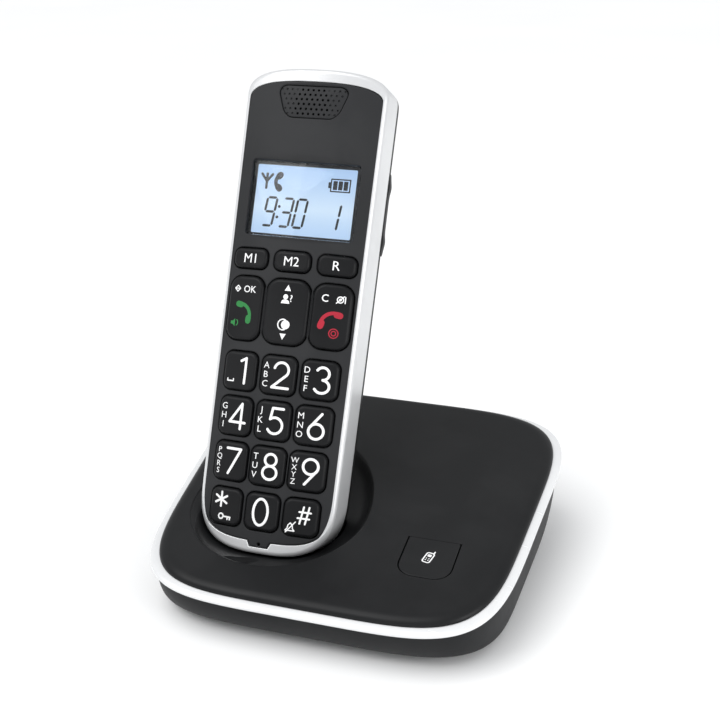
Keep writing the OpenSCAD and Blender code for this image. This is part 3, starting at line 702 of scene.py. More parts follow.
def makeDisplayLit(low, high):
    # Backlit display: brighter towards the lower middle, with a fine cell pattern
    material, tree, shader = newMaterial("displayLit", Roughness=0.35, Specular_IOR_Level=0.1,
                                         Emission_Strength=0.86)
    where = tree.nodes.new("ShaderNodeTexCoord").outputs["Object"]
    split = tree.nodes.new("ShaderNodeSeparateXYZ")
    wire(tree, where, split, 0)
    height = addNode(tree, "ShaderNodeMapRange", interpolation_type="SMOOTHSTEP", From_Min=low, From_Max=high)
    wire(tree, split.outputs["Z"], height, "Value")
    ramp = tree.nodes.new("ShaderNodeValToRGB")
    stops = ((0, (0.5, 0.68, 0.92, 1)), (0.35, (0.66, 0.81, 0.97, 1)), (1, (0.44, 0.62, 0.88, 1)))
    ramp.color_ramp.elements[0].color = stops[0][1]
    ramp.color_ramp.elements[1].color = stops[2][1]
    middle = ramp.color_ramp.elements.new(stops[1][0])
    middle.color = stops[1][1]
    wire(tree, height.outputs["Result"], ramp, "Fac")
    cells = addNode(tree, "ShaderNodeTexChecker", Scale=2600, Color1=(1, 1, 1, 1),
                    Color2=(0.95, 0.95, 0.95, 1))
    wire(tree, where, cells, "Vector")
    colour = mixColour(tree, 1, ramp.outputs["Color"], cells.outputs["Color"], "MULTIPLY")
    wire(tree, colour, shader, "Emission Color")
    wire(tree, mixColour(tree, 0.8, colour, (0, 0, 0, 1)), shader, "Base Color")
    return material


boardGreen = makeBoardGreen()
lensClear = makeLensClear()


# Handset: face

print("Handset: face, silver frame and keys")
handset = {
    "halfLow": 24.2,      # half width near the bottom
    "faceRadius": 80,     # curve across the face
    "lowEnd": 22,
    "topEnd": 9,
    "sideLip": 1.4,
    "tab": (8.2, 6.2, 1.9),   # microphone tab: width above, width below, length
}
frontBox = localBox("handset_front_panel", onHandset)
frameBox = localBox("handset_frame", onHandset)
faceTop = frontBox[3][2]
length = frameBox[3][1]
halfHigh = frameBox[1][0] / 2
partLine = frameBox[2][2]
lipTop = length - frontBox[3][1]
lipLow = frontBox[2][1] + handset["tab"][2]


def crown(x, y=0):
    return faceTop - handset["faceRadius"] + math.sqrt(handset["faceRadius"] ** 2 - x * x)


def shellOutline(o):
    return endedOutline(-o, length + o, handset["halfLow"] + o, halfHigh + o, handset["lowEnd"],
                        handset["topEnd"])


def panelOutline(o):
    # The face's edge with the microphone tab in its lower end
    lip = handset["sideLip"]
    wide, narrow, deep = handset["tab"]
    loop = endedOutline(lipLow - o, length - lipTop + o, handset["halfLow"] - lip + o, halfHigh - lip + o,
                        handset["lowEnd"] - 4, handset["topEnd"] - 2, 3.5, 3.2)
    taken = 2  # points that the tab stands in for
    low = loop[0][1]
    tab = [(narrow / 2 + o, low - deep), (wide / 2 + o, low)]
    return tab + loop[taken:len(loop) - taken + 1] + [(-x, y) for x, y in reversed(tab)]


numberKeys = ["key_1", "key_2", "key_3", "key_4", "key_5", "key_6", "key_7", "key_8", "key_9", "key_star",
              "key_0",
              "key_hash"]
softKeys = ["key_m1", "key_m2", "key_recall"]
keyCorner = {"key_call": 4.2, "key_end": 4.2, "nav_rocker": 4.6}
keyCorner.update({n: 2.6 for n in numberKeys})
keyCorner.update({n: 2.4 for n in softKeys})
keyShape = {}
# Side pins that the navigation key rocks on
pin = {"radius": 0.7, "out": 0.6, "under": 3.2}
for node in keyCorner:
    centre, size = localBox(node, onHandset)[:2]
    pins = 2 * pin["out"] if node == "nav_rocker" else 0
    keyShape[node] = (size[0] - pins, size[1], keyCorner[node], centre[0], centre[1])

grille = {"halfWidth": 11.1, "height": 11, "corner": 3.4, "taper": 0.032, "below": 1.2, "gap": 0.22,
          "sink": 0.12,
          "thick": 1.5, "pitch": 1.85, "hole": 0.4, "through": 6.2}
grilleY = length - lipTop - grille["below"] - grille["height"] / 2


def grilleShape(o):
    box = roundedBox(2 * (grille["halfWidth"] + o), grille["height"] + 2 * o, grille["corner"] + o, 0,
                     grilleY)
    return [(x * (1 + grille["taper"] * (y - grilleY)), y) for x, y in box]


panel = {"thick": 2, "edge": (0.45, 0.4), "keyEdge": (0.45, 0.4), "keyGap": 0.38, "mic": 0.5}
lensCentre, lensSize, _, lensHigh = localBox("lcd_lens", onHandset)
holes = [boxHole(w + 2 * panel["keyGap"], h + 2 * panel["keyGap"], r + panel["keyGap"], x, y)
         for w, h, r, x, y in keyShape.values()]
holes.append(boxHole(lensSize[0] + 0.24, lensSize[1] + 0.24, 1.2, 0, lensCentre[1]))
holes.append(grilleShape)
holes.append(roundHole(panel["mic"], 0, lipLow - 1))
body = Body()
plateSolid(body, panelOutline, holes, crown, lambda x, y: crown(x) - panel["thick"], spacing=(1.7, 2.4),
           roll=panel["edge"], holeRoll=panel["keyEdge"])
front = body.make("handsetFrontPanel", onHandset, [panelBlack])
finish(front, "handset", "panel_black", "handset_front_panel")

silver = {"edge": (1.5, 1.3), "innerEdge": (0.22, 0.18), "gap": 0.12}
body = Body()
plateSolid(body, shellOutline, [lambda o: panelOutline(o + silver["gap"])], crown, lambda x, y: partLine,
           spacing=(1.2, 2.5), roll=silver["edge"], holeRoll=silver["innerEdge"], steps=6)
frameBand = body.make("handsetSilverFrame", onHandset, [frameSilver])
finish(frameBand, "handset", "frame_silver", "handset_frame")


# Handset: keys and their printed marks

def receiver(x, y, size, angle, width):
    # A telephone receiver: a curved grip with two thick ends
    turn = math.radians(angle)
    shapes = [ribbon(arcPath(0, -0.55 * size, 0.95 * size, 0.95 * size, 42, 138), width)]
    for side in (-1, 1):
        shapes.append(ribbon(linePath(side * 0.62 * size, 0.06 * size, side * 0.8 * size, -0.1 * size),
                             width * 1.75))
    return [[(x + p * math.cos(turn) - q * math.sin(turn), y + p * math.sin(turn) + q * math.cos(turn))
             for p, q in shape] for shape in shapes]


def moved(shapes, x, y):
    return [[(p + x, q + y) for p, q in shape] for shape in shapes]


def disc(radius, x, y, steps=18):
    return roundHole(radius, x, y, steps)(0)


# Marks about each key's middle: white shapes, then coloured shapes
ink = {"figure": 9.2, "line": 0.86, "letters": 2.15, "step": 3.05, "fine": 0.34}


def numberMarks(node):
    name = node[4:]
    line = ink["line"]
    if name == "star":
        key = ringPaths(-1.2, -3.4, 0.85) + [linePath(-0.3, -3.4, 2.3, -3.4), linePath(1.3, -3.4, 1.3, -4.2),
                                             linePath(2.2, -3.4, 2.2, -4.2)]
        return figure("star", 5.4, -1.7, 2.2, 0.72) + [ribbon(p, 0.5) for p in key]
    if name == "hash":
        edge = [(-4.5, -4.5), (-3.9, -3.8), (-3.7, -2.7), (-3, -2), (-2.3, -2.7), (-2.1, -3.8), (-1.5, -4.5)]
        bell = [ribbon([a, b], 0.36) for a, b in zip(edge, edge[1:] + edge[:1])]
        return figure("hash", 6, 1.1, 0.9, 0.6) + bell + [ribbon(linePath(-4.3, -5.1, -1.4, -1.5), 0.36)]
    if name == "0":
        return figure("0", 9.4, -0.3, 0, line)
    if name == "1":
        space = [linePath(-4.2, -2.9, -4.2, -3.6), linePath(-4.2, -3.6, -2, -3.6),
                 linePath(-2, -3.6, -2, -2.9)]
        return figure("1", ink["figure"], 1.6, 0.2, line) + [ribbon(p, 0.4) for p in space]
    letters = {"2": "ABC", "3": "DEF", "4": "GHI", "5": "JKL", "6": "MNO", "7": "PQRS", "8": "TUV",
               "9": "WXYZ"}[name]
    many = len(letters) > 3
    step = ink["step"] * (0.76 if many else 1)
    size = ink["letters"] * (0.86 if many else 1)
    return figure(name, ink["figure"], 1.15, 0.1, line) + wordShapes(letters, size, -4.2, 0, step)


def callMarks():
    fine = ink["fine"]
    diamond = [(-4.3, 6.4), (-3.3, 7.4), (-2.3, 6.4), (-3.3, 5.4)]
    box = [ribbon([diamond[i], diamond[(i + 1) % 4]], fine) for i in range(4)]
    box += [ribbon(linePath(-4, 6.4, -2.9, 6.4), fine)]
    sound = [[(-4.6, -5.6), (-3.9, -5.6), (-3, -6.4), (-3, -3.8), (-3.9, -4.6), (-4.6, -4.6)],
             ribbon(arcPath(-3, -5.1, 1.1, 1.1, -55, 55), fine)]
    return box + wordShapes("OK", 2.3, 1.4, 6.4, None, 0.02), receiver(0.1, -1.2, 4.3, -52, 1.15) + sound


def endMarks():
    fine = ink["fine"]
    mute = [ribbon(p, fine) for p in ringPaths(2.6, 5.9, 1)] + [disc(0.45, 2.6, 5.9)]
    mute += [ribbon(linePath(1.4, 4.7, 3.8, 7.1), fine), ribbon(linePath(4.2, 4.9, 4.2, 6.9), fine)]
    power = [ribbon(p, fine) for p in ringPaths(1.6, -5.3, 1.5) + ringPaths(1.6, -5.3, 0.75)]
    return mute + wordShapes("C", 2.5, -2.4, 6, None, 0.03), receiver(-0.2, -0.9, 4.5, 33, 1.2) + power


def navMarks():
    up = [(-1.1, 7), (1.1, 7), (0, 9)]
    down = [(-1.1, -7.2), (0, -9.2), (1.1, -7.2)]
    person = [disc(0.85, -0.5, 5), [(-2, 2.8), (1, 2.8), (0.7, 3.7), (0, 4.1), (-1, 4.1), (-1.7, 3.7)]]
    redial = [disc(1.5, 0.5, -4.2, 24)] + [ribbon(arcPath(-0.4, -4.2, 1.75, 1.75, 65, 295), 0.42)]
    return [up, down] + person + wordShapes("?", 2.3, 1.5, 4.6, None, 0.03) + redial


keyMarks = {n: (numberMarks(n), []) for n in numberKeys}
keyMarks.update({"key_m1": (wordShapes("M1", 3.2, 0, 0), []), "key_m2": (wordShapes("M2", 3.2, 0, 0), []),
                 "key_recall": (wordShapes("R", 3.2, 0, 0), []), "key_call": callMarks(),
                 "key_end": endMarks(),
                 "nav_rocker": (navMarks(), [])})
keys = {"proud": 1, "shoulder": (1.15, 0.75), "dish": 0.16}
for node, (w, h, r, x, y) in keyShape.items():
    foot = localBox(node, onHandset)[2][2]

    def keyTop(px, py, x=x, y=y, w=w, h=h):
        bowl = max(0, 1 - ((px - x) / (w / 2)) ** 2) * max(0, 1 - ((py - y) / (h / 2)) ** 2)
        return crown(px) + keys["proud"] - keys["dish"] * bowl

    body = Body()
    plateSolid(body, boxHole(w, h, r, x, y, 8), [], keyTop, lambda px, py: foot, spacing=(1.1, 1.1),
               roll=keys["shoulder"], steps=5)
    if node == "nav_rocker":
        turns = [2 * math.pi * i / 24 for i in range(24)]
        for side in (-1, 1):
            body.tube([[(x + side * px, y + pin["radius"] * math.cos(a),
                         faceTop - pin["under"] + pin["radius"]
                         * math.sin(a)) for a in turns] for px in (w / 2 - 1.2, w / 2 + pin["out"])])
    camel = node.replace("nav_rocker", "navigationKey").replace("key_", "key")
    cap = body.make(camel, onHandset, [keyBlack])
    finish(cap, node, "key_black", node)
    body = Body()
    white, coloured = keyMarks[node]
    printMark(body, moved(white, x, y), keyTop)
    if coloured:
        printMark(body, moved(coloured, x, y), keyTop, paint=1)
    mark = body.make(camel + "Print", onHandset, [printWhite, printGreen if node == "key_call" else printRed])
    finish(mark, node, "key_black")


# Handset: display

print("Handset: display")
display = {"ink": 0.03, "lean": 0.12, "bar": 0.8, "line": 0.85}
panelCentre, panelSize, panelLow, panelHigh = localBox("lcd_panel", onHandset)
flatTop = panelHigh[2]
body = Body()
plateSolid(body, boxHole(panelSize[0] - 0.3, panelSize[1] - 0.3, 0.6, 0, panelCentre[1]), [],
           lambda x, y: flatTop, lambda x, y: panelLow[2] + 0.05, spacing=(6, 6), roll=(0.15, 0.15), steps=2)
litLow = (onHandset @ Vector((0, panelLow[1], flatTop))).z
litHigh = (onHandset @ Vector((0, panelHigh[1], flatTop))).z
displayLit = makeDisplayLit(litLow, litHigh)
glass = body.make("displayGlass", onHandset, [displayLit])
finish(glass, "handset", "lcd_glass", "lcd_panel")

# Dark mask around the lit field
body = Body()
wide, tall = lensSize[0] + 0.6, lensSize[1] + 0.8
plateSolid(body, boxHole(wide, tall, 1.2, 0, lensCentre[1]),
           [boxHole(lensSize[0] - 2.8, lensSize[1] - 1.9, 0.5, -0.2, lensCentre[1] - 0.1)],
           lambda x, y: flatTop + 0.3,
           lambda x, y: flatTop + 0.02, spacing=(5, 5), roll=(0.1, 0.1), holeRoll=(0.08, 0.08), steps=2)
finish(body.make("displayMask", onHandset, [panelBlack]), "handset", "lcd_glass")

segmentPlaces = {"a": (0, 1), "g": (0, 0.5), "d": (0, 0), "f": (-0.5, 0.75), "b": (0.5, 0.75),
                 "e": (-0.5, 0.25),
                 "c": (0.5, 0.25)}
segmentSets = {"0": "abcdef", "1": "bc", "3": "abcdg", "9": "abcdfg"}


def segmentFigure(name, x, y, width, height, bar):
    shapes = []
    for letter in segmentSets[name]:
        px, py = segmentPlaces[letter]
        cx, cy = px * width, (py - 0.5) * height
        half = (width if letter in "agd" else height / 2) / 2 - bar * 0.18
        tip = bar / 2
        shape = [(-half, 0), (-half + tip, -tip), (half - tip, -tip), (half, 0), (half - tip, tip),
                 (-half + tip, tip)]
        if letter not in "agd":
            shape = [(-q, p) for p, q in shape]
        shapes.append([(x + cx + p + display["lean"] * (cy + q), y + cy + q) for p, q in shape])
    return shapes


def displayShapes():
    midX, midY = 0, lensCentre[1]
    shapes = []
    for name, x in (("9", -11.9), ("3", -6), ("0", -1.1)):
        shapes += segmentFigure(name, midX + x, midY - 4.3, 3.4, 9.6, display["bar"])
    shapes += [disc(0.5, midX - 8.7, midY - 2.4, 10), disc(0.5, midX - 9.1, midY - 6, 10)]
    shapes += segmentFigure("1", midX + 10.8, midY - 4.6, 3.4, 8.8, display["bar"])
    aerial = [linePath(-14.2, 3.6, -14.2, 8.4), linePath(-14.2, 5.9, -16.1, 8.3),
              linePath(-14.2, 5.9, -12.3, 8.3)]
    shapes += moved([ribbon(p, display["line"]) for p in aerial], midX, midY)
    shapes += receiver(midX - 9.8, midY + 6, 2.9, 90, 1.25)
    left, low, wide, tall = 8.6, 4, 6.6, 4.1
    frameLines = [linePath(left, low, left + wide, low), linePath(left, low + tall, left + wide, low + tall),
                  linePath(left, low, left, low + tall), linePath(left + wide, low, left + wide, low + tall)]
    shapes += moved([ribbon(p, 0.45) for p in frameLines], midX, midY)
    for i in range(3):
        shapes += moved([roundedBox(1.5, 3, 0.15, left + 1.45 + 1.85 * i, low + tall / 2, 2)], midX, midY)
    shapes += moved([roundedBox(0.9, 2, 0.2, left - 0.5, low + tall / 2, 2)], midX, midY)
    return shapes


inkBlack = moulded("displayInk", (0.004, 0.005, 0.008), (0.008, 0.009, 0.014), rough=0.5, grain=3000,
                   depth=0.002)
body = Body()
printMark(body, displayShapes(), lambda x, y: flatTop, lift=display["ink"], sink=0.02)
finish(body.make("displaySegments", onHandset, [inkBlack]), "handset", "lcd_glass")



def lensTop(x, y):
    return crown(x) - (faceTop - lensHigh[2])


body = Body()
plateSolid(body, boxHole(lensSize[0], lensSize[1], 1.1, 0, lensCentre[1]), [], lensTop,
           lambda x, y: lensTop(x, y) - 1, spacing=(2, 4), roll=(0.12, 0.12), steps=2)
finish(body.make("displayLens", onHandset, [lensClear]), "handset", "lens_clear", "lcd_lens")


# Base: deck with its dish and pocket

print("Base: deck, rim and lower shell")
base = {
    "halfWide": 60, "halfDeep": 59, "power": 4.8, "flare": 0.06,
    "edge": (3.2, 2.2),
}
dish = {"radius": 30.4, "back": 42, "deep": 8, "offset": (2.4, -6.4), "rings": 14, "around": 120, "wall": 1.9}
pocket = {"gap": 0.55, "tail": 8, "flat": 15, "halfWide": 24.5, "part": 9, "lowEnd": 22}


def deckRing(o, steps=144):
    loop = []
    for i in range(steps):
        a = 2 * math.pi * i / steps
        x = signedPower(math.cos(a), 2 / base["power"])
        y = signedPower(math.sin(a), 2 / base["power"])
        loop.append(((base["halfWide"] + o) * x * (1 + base["flare"] * y), (base["halfDeep"] + o) * y))
    return loop


seatX, seatY = handsetCorner.x / mm, handsetCorner.y / mm
dishX = seatX + dish["offset"][0]
dishY = seatY + dish["offset"][1]


def dishLoop(o, steps=None):
    steps = steps or dish["around"]
    loop = []
    for i in range(steps):
        a = 2 * math.pi * i / steps
        long = dish["back"] if math.sin(a) > 0 else dish["radius"]
        loop.append((dishX + (dish["radius"] + o) * math.cos(a), dishY + (long + o) * math.sin(a)))
    return loop


def bowlDepth(t, side):
    # Depth at a share t of the way in from the edge; side runs from the soft left to the steep right
    soft = 0.5 + 0.5 * max(-1, min(1, side))
    steep = 1.15 + 3.6 * soft
    t = max(0, min(1, t))
    return dish["deep"] * (1 - (1 - t) ** steep) * (0.25 + 0.75 * min(1, t * (2.2 + 9 * soft)))


toHandset = np.array(onHandset.inverted() @ onDeck)


def pocketInside(points):
    # Whether points in the deck's millimetres are in the space that the handset's foot takes
    local = points @ toHandset[:3, :3].T + toHandset[:3, 3]
    x, y, z = np.abs(local[:, 0]), local[:, 1], local[:, 2]
    gap, tail, part = pocket["gap"], pocket["tail"], pocket["part"]
    wide = pocket["halfWide"] + gap
    end = np.clip((pocket["lowEnd"] - y) / (pocket["lowEnd"] + gap), 0, 1)
    within = (x / wide) ** 3 + end ** 3 < 1
    corner = (y < tail) & (z < tail)
    round_ = (y - tail) ** 2 + (z - tail) ** 2 < (tail + gap) ** 2
    within &= (y > -gap) & (z > -gap) & (~corner | round_)
    out = np.clip((x - pocket["flat"]) / (wide - pocket["flat"]), 0, 1)
    lift = part - (part + gap) * (1 - out ** 2.5) ** 0.4
    return within & (z > np.minimum(lift, part))


def pocketDepth(x, y, step=0.2):
    # Depth of the pocket's floor under each point of the deck, or minus one where there is no pocket
    levels = np.arange(0, 34, step)
    x, y = np.asarray(x, float), np.asarray(y, float)
    grid = np.stack([np.repeat(x, len(levels)), np.repeat(y, len(levels)), -np.tile(levels, len(x))], 1)
    inside = pocketInside(grid).reshape(len(x), len(levels))
    deepest = len(levels) - 1 - np.argmax(inside[:, ::-1], axis=1)
    depth = np.where(inside.any(1), levels[deepest] + step / 2, -1)
    return depth


def buildDeck():
    around = dish["around"]
    edge = dishLoop(0)
    # The centre of the spokes lies in the pocket's deepest part
    lowest = onDeck.inverted() @ (onHandset @ Vector((0, 2, 4)))
    middle = Vector((dishX - 0.5, lowest.y))
    body = Body()
    deckHoles = [lambda o: pageOutline(o + 0.3, 0.05)]
    families = [lambda o: deckRing(o), lambda o: dishLoop(o)] + deckHoles
    rolls = [(-base["edge"][0], base["edge"][1]), (0.35, 0.3), (0.3, 0.28)]
    loops = [f(r[0]) for f, r in zip(families, rolls)]
    support = [p for f, r in zip(families, rolls) for p in f(r[0] + (0.5 if r[0] > 0 else -0.5))]
    points, triangles, boundary = fillArea(loops, (4, 4), support)
    flatNormal = Vector((0, 0, 1))
    first = body.add([(x, y, 0) for x, y in points], [flatNormal] * len(points))[0]
    for t in triangles:
        body.face([first + v for v in t])
    rings = []
    for k, (family, (sideways, drop)) in enumerate(zip(families, rolls)):
        ring = [first + v for v in boundary[k]]
        steps = 8 if k == 0 else 3
        for s in range(1, steps + 1):
            a = math.pi / 2 * s / steps
            if k == 1 and s == steps:
                break
            loop = family(sideways * (1 - math.sin(a)))
            ways = outwardOf(loop)
            sign = 1 if k == 0 else -1
            normals = [(flatNormal * math.cos(a) + w * sign * math.sin(a)).normalized() for w in ways]
            nextRing = body.add([(x, y, -drop * (1 - math.cos(a))) for x, y in loop], normals)
            body.bridge(ring, nextRing)
            ring = nextRing
        rings.append(ring)

    # Spokes from the dish's edge to the middle of the pocket
    shares = np.linspace(0, 1, 241)
    edgeArray = np.array(edge)
    centre = np.array(middle[:])
    spokeX = edgeArray[:, None, 0] * (1 - shares) + centre[0] * shares
    spokeY = edgeArray[:, None, 1] * (1 - shares) + centre[1] * shares
    hole = pocketDepth(spokeX.ravel(), spokeY.ravel()).reshape(spokeX.shape)
    reachIn = np.hypot(edgeArray[:, 0] - centre[0], edgeArray[:, 1] - centre[1])
    sides = (edgeArray[:, 0] - dishX) / dish["radius"]
    bowl = np.array([[bowlDepth(s * reachIn[i] / 15, sides[i]) for s in shares] for i in range(around)])
    start = np.array([int(np.argmax(hole[i] > bowl[i] + 0.02)) for i in range(around)])
    start = np.maximum(start, 4)
    weights = {k: 7 - abs(k) for k in range(-6, 7)}
    smooth = np.array([sum(w * start[(i + k) % around] for k, w in weights.items()) / sum(weights.values())
                       for i in range(around)])
    cut = smooth / 240
    outerSteps, innerSteps = dish["rings"], 26

    def sample(table, i, share):
        return float(np.interp(share, shares, table[i]))

    previous = rings[1]
    lastRing = None
    for s in range(1, outerSteps + 1):
        t = (s / outerSteps) ** 1.3
        loop = []
        for i in range(around):
            share = cut[i] * t
            loop.append((edge[i][0] * (1 - share) + middle.x * share,
                         edge[i][1] * (1 - share) + middle.y * share,
                         -0.3 - sample(bowl, i, share)))
        lastRing = body.add(loop)
        body.bridge(previous, lastRing)
        previous = lastRing
    # The hole's own wall, then its floor in to the middle
    for s in range(innerSteps):
        t = ((s + (0.25 if s == 0 else 0)) / innerSteps)
        loop = []
        for i in range(around):
            share = cut[i] + (1 - cut[i]) * (0.012 + 0.988 * t)
            depth = max(sample(hole, i, share), sample(bowl, i, cut[i]))
            loop.append((edge[i][0] * (1 - share) + middle.x * share,
                         edge[i][1] * (1 - share) + middle.y * share,
                         -0.3 - depth))
        nextRing = body.add(loop)
        body.bridge(previous, nextRing)
        previous = nextRing
    body.cap(previous)
    piece = body.make("baseDeckSheet", Matrix.Identity(4), [deckBlack])
    thick = piece.modifiers.new("wall", "SOLIDIFY")
    thick.thickness = dish["wall"]
    thick.offset = -1
    settle(piece, 38)
    weigh = piece.modifiers.new("weighted", "WEIGHTED_NORMAL")
    weigh.keep_sharp = True
    settle(piece)
    piece.data.transform(onDeck)
    piece.name = "baseDeck"
    return piece


page = {"corner": 5.5, "edge": (0.4, 0.35), "under": 2.4,
        "bar": 1.5,           # from the rear edge to the bar that it turns on
        "stem": (3, 0.4, 9),  # width and corner of the stem, and its place from the front edge
        "stemSpan": (-8.6, -2.3)}
pageCentre, pageSize, pageLow, pageHigh = localBox("page_key", onDeck)
pageWide = pageSize[0]
pageBack = pageHigh[1]
pageFront = pageLow[1]


def pageOutline(o, rear=0.0):
    # Straight rear edge and rounded front corners
    x, half = pageCentre[0], pageWide / 2
    r = page["corner"]
    loop = [(x + half + o, pageBack + rear), (x - half - o, pageBack + rear)]
    for side in (-1, 1):
        for i in range(9):
            a = math.radians((180 if side < 0 else 270) + 90 * i / 8)
            loop.append((x + side * (half - r) + (r + o) * math.cos(a),
                         pageFront + r + (r + o) * math.sin(a)))
    return loop


finish(buildDeck(), "base", "deck_black", "base_deck")

body = Body()
plateSolid(body, pageOutline, [], lambda x, y: -0.06, lambda x, y: -page["under"], spacing=(3, 3),
           roll=page["edge"])
barY = pageBack - page["bar"]
body.tube([[(x, barY + math.cos(a), -page["under"] + math.sin(a))
            for a in [2 * math.pi * i / 20 for i in range(20)]]
           for x in (pageCentre[0] - pageWide / 2 + 2, pageCentre[0] + pageWide / 2 - 2)])
stemWide, stemCorner, stemAt = page["stem"]
body.tube([[(x, y, z) for x, y in roundedBox(stemWide, stemWide, stemCorner, pageCentre[0],
                                             pageFront + stemAt, 3)]
           for z in page["stemSpan"]])
finish(body.make("pageKey", onDeck, [deckBlack]), "page_key", "deck_black", "page_key")


def pageMarks():
    # A small cordless handset seen from the front
    shell = [ribbon([a, b], 0.42) for a, b in zip(iconLoop(1.25, 2.3, 0.7), iconLoop(1.25, 2.3, 0.7)[1:]
                                                    + iconLoop(1.25, 2.3, 0.7)[:1])]
    shell += [ribbon(linePath(0.85, 2.2, 0.85, 3.2), 0.45), roundedBox(1.3, 1.1, 0.15, 0, 1, 2)]
    shell += [disc(0.22, x, y, 8) for x in (-0.45, 0.45) for y in (-0.4, -1.2)]
    turn = math.radians(-12)
    return [[(p * math.cos(turn) - q * math.sin(turn), p * math.sin(turn) + q * math.cos(turn)) for p, q in s]
            for s in shell]


def iconLoop(halfWide, halfTall, corner):
    return roundedBox(2 * halfWide, 2 * halfTall, corner, 0, 0, 3)


body = Body()
printMark(body, moved(pageMarks(), pageCentre[0], pageCentre[1] + 0.3), lambda x, y: -0.06)
finish(body.make("pageKeyPrint", onDeck, [printWhite]), "page_key", "deck_black")


# Base: rim and lower shell

rim = {"out": 2.72, "high": 2.0, "below": 2.2, "gap": 0.12, "in": -2.0,
       "profile": [(-0.9, 1.04), (-0.55, 0.96), (-0.2, 0.84), (-0.05, 0.72), (0, 0.58), (-0.06, 0.44),
                   (-0.2, 0.33),
                   (-0.5, 0.22), (-0.95, 0.13), (-1.5, 0.07), (-2.2, 0.03), (-2.5, 0)]}
body = Body()
sections = [(rim["out"] + o, -rim["below"] - rim["gap"] - rim["high"] * share) for o, share in rim["profile"]]
sections += [(0.1, sections[-1][1]), (rim["in"], sections[-1][1] - 0.02), (rim["in"], sections[0][1])]
loops = [body.add([(x, y, z) for x, y in deckRing(o)]) for o, z in sections]
for one, two in zip(loops, loops[1:] + loops[:1]):
    body.bridge(one, two)
finish(body.make("baseRim", onDeck, [rimSilver], 50), "base", "rim_silver", "base_rim")

foot = {"halfWide": 58, "halfDeep": 48, "lift": 1.2, "floor": 1.8, "wall": 2, "steps": 22,
        "screwHoles": ((2.7, -1, 2.15), (1.5, -1.2, 8)),   # radius, from, to
        "padHole": (4.7, -1, 2), "slots": 9, "slotStep": 4, "slotSize": (26, 1.6, 0.78), "slotAt": (16, -16)}
sockets = {n: localBox(n, onDesk) for n in ("line_socket", "power_socket")}


def footRing(o, z, steps=144):
    return [((foot["halfWide"] + o) * signedPower(math.cos(2 * math.pi * i / steps), 2 / base["power"]),
             (foot["halfDeep"] + o) * signedPower(math.sin(2 * math.pi * i / steps), 2 / base["power"]), z)
            for i in range(steps)]


def shellRings(o, lift):
    top = [(onDeck @ Vector((x, y, -rim["below"] - rim["high"] - 2 * rim["gap"] + lift))) / mm
           for x, y in deckRing(rim["out"] - 1.4 - o)]
    low = footRing(-o, foot["lift"] + (foot["floor"] if o > 0 else 0))
    rings = []
    for k in range(foot["steps"] + 1):
        u = math.pi / 2 * k / foot["steps"]
        rings.append([(f[0] + (t[0] - f[0]) * math.sin(u), f[1] + (t[1] - f[1]) * math.sin(u),
                       f[2] + (t[2] - f[2]) * (1 - math.cos(u))) for f, t in zip(low, top)])
    return rings


def buildShell():
    body = Body()
    outer = shellRings(0, 0)
    inner = shellRings(foot["wall"], 0.02)
    softFoot = [[(x * 0.975, y * 0.97, z) for x, y, z in outer[0]]]
    loops = [body.add(r) for r in softFoot + [[(x, y, z + 0.25) for x, y, z in outer[0]]] + outer[1:]]
    for one, two in zip(loops, loops[1:]):
        body.bridge(one, two)
    body.cap(loops[0])
    inside = [body.add(r) for r in inner]
    for one, two in zip(inside, inside[1:]):
        body.bridge(one, two)
    body.cap(inside[0])
    body.bridge(loops[-1], inside[-1])
    shell = body.make("baseShell", onDesk, [footBlack])
    tools = Body()
    for centre, size, low, high in sockets.values():
        opening = [[(x, y, z) for x, z in roundedBox(size[0] + 0.6, size[2] + 0.6, 0.8, centre[0],
                                                     centre[2], 4)]
                   for y in (low[1] + 4, high[1] + 20)]
        tools.tube(opening)
    for x, y in screwSpots:
        for radius, low, high in foot["screwHoles"]:
            tools.tube([[(px, py, z) for px, py in roundHole(radius, x, y, 28)(0)] for z in (low, high)])
    for x, y in feetSpots:
        radius, low, high = foot["padHole"]
        tools.tube([[(px, py, z) for px, py in roundHole(radius, x, y, 36)(0)] for z in (low, high)])
    slotX, slotY = foot["slotAt"]
    for i in range(foot["slots"]):
        slot = [[(px, py, z) for px, py in roundedBox(*foot["slotSize"], slotX,
                                                      slotY + foot["slotStep"] * i, 5)]
                for z in (-1, 5)]
        tools.tube(slot)
    cutter = tools.make("shellCutter", onDesk, [footBlack])
    cut = shell.modifiers.new("openings", "BOOLEAN")
    cut.operation = "DIFFERENCE"
    cut.solver = "EXACT"
    cut.use_self = True
    cut.object = cutter
    settle(shell, 30)
    bpy.data.objects.remove(cutter)
    return shell


def spots(node):
    # Middles of a part's separate solids, seen from above
    points = [v.co / mm for v in frame["nodes"][node].data.vertices]
    found = []
    for p in points:
        near = next((f for f in found if math.hypot(f[0] / f[2] - p.x, f[1] / f[2] - p.y) < 12), None)
        if near:
            near[0] += p.x
            near[1] += p.y
            near[2] += 1
        else:
            found.append([p.x, p.y, 1])
    return [(round(f[0] / f[2], 2), round(f[1] / f[2], 2)) for f in found]


screwSpots = spots("base_screws")
feetSpots = spots("rubber_feet")
finish(buildShell(), "base", "shell_black", "base_bottom_shell")


# Shapes made by rule: perforations, ribs, coils and repeated parts

socketKinds = {float: "NodeSocketFloat", int: "NodeSocketInt"}


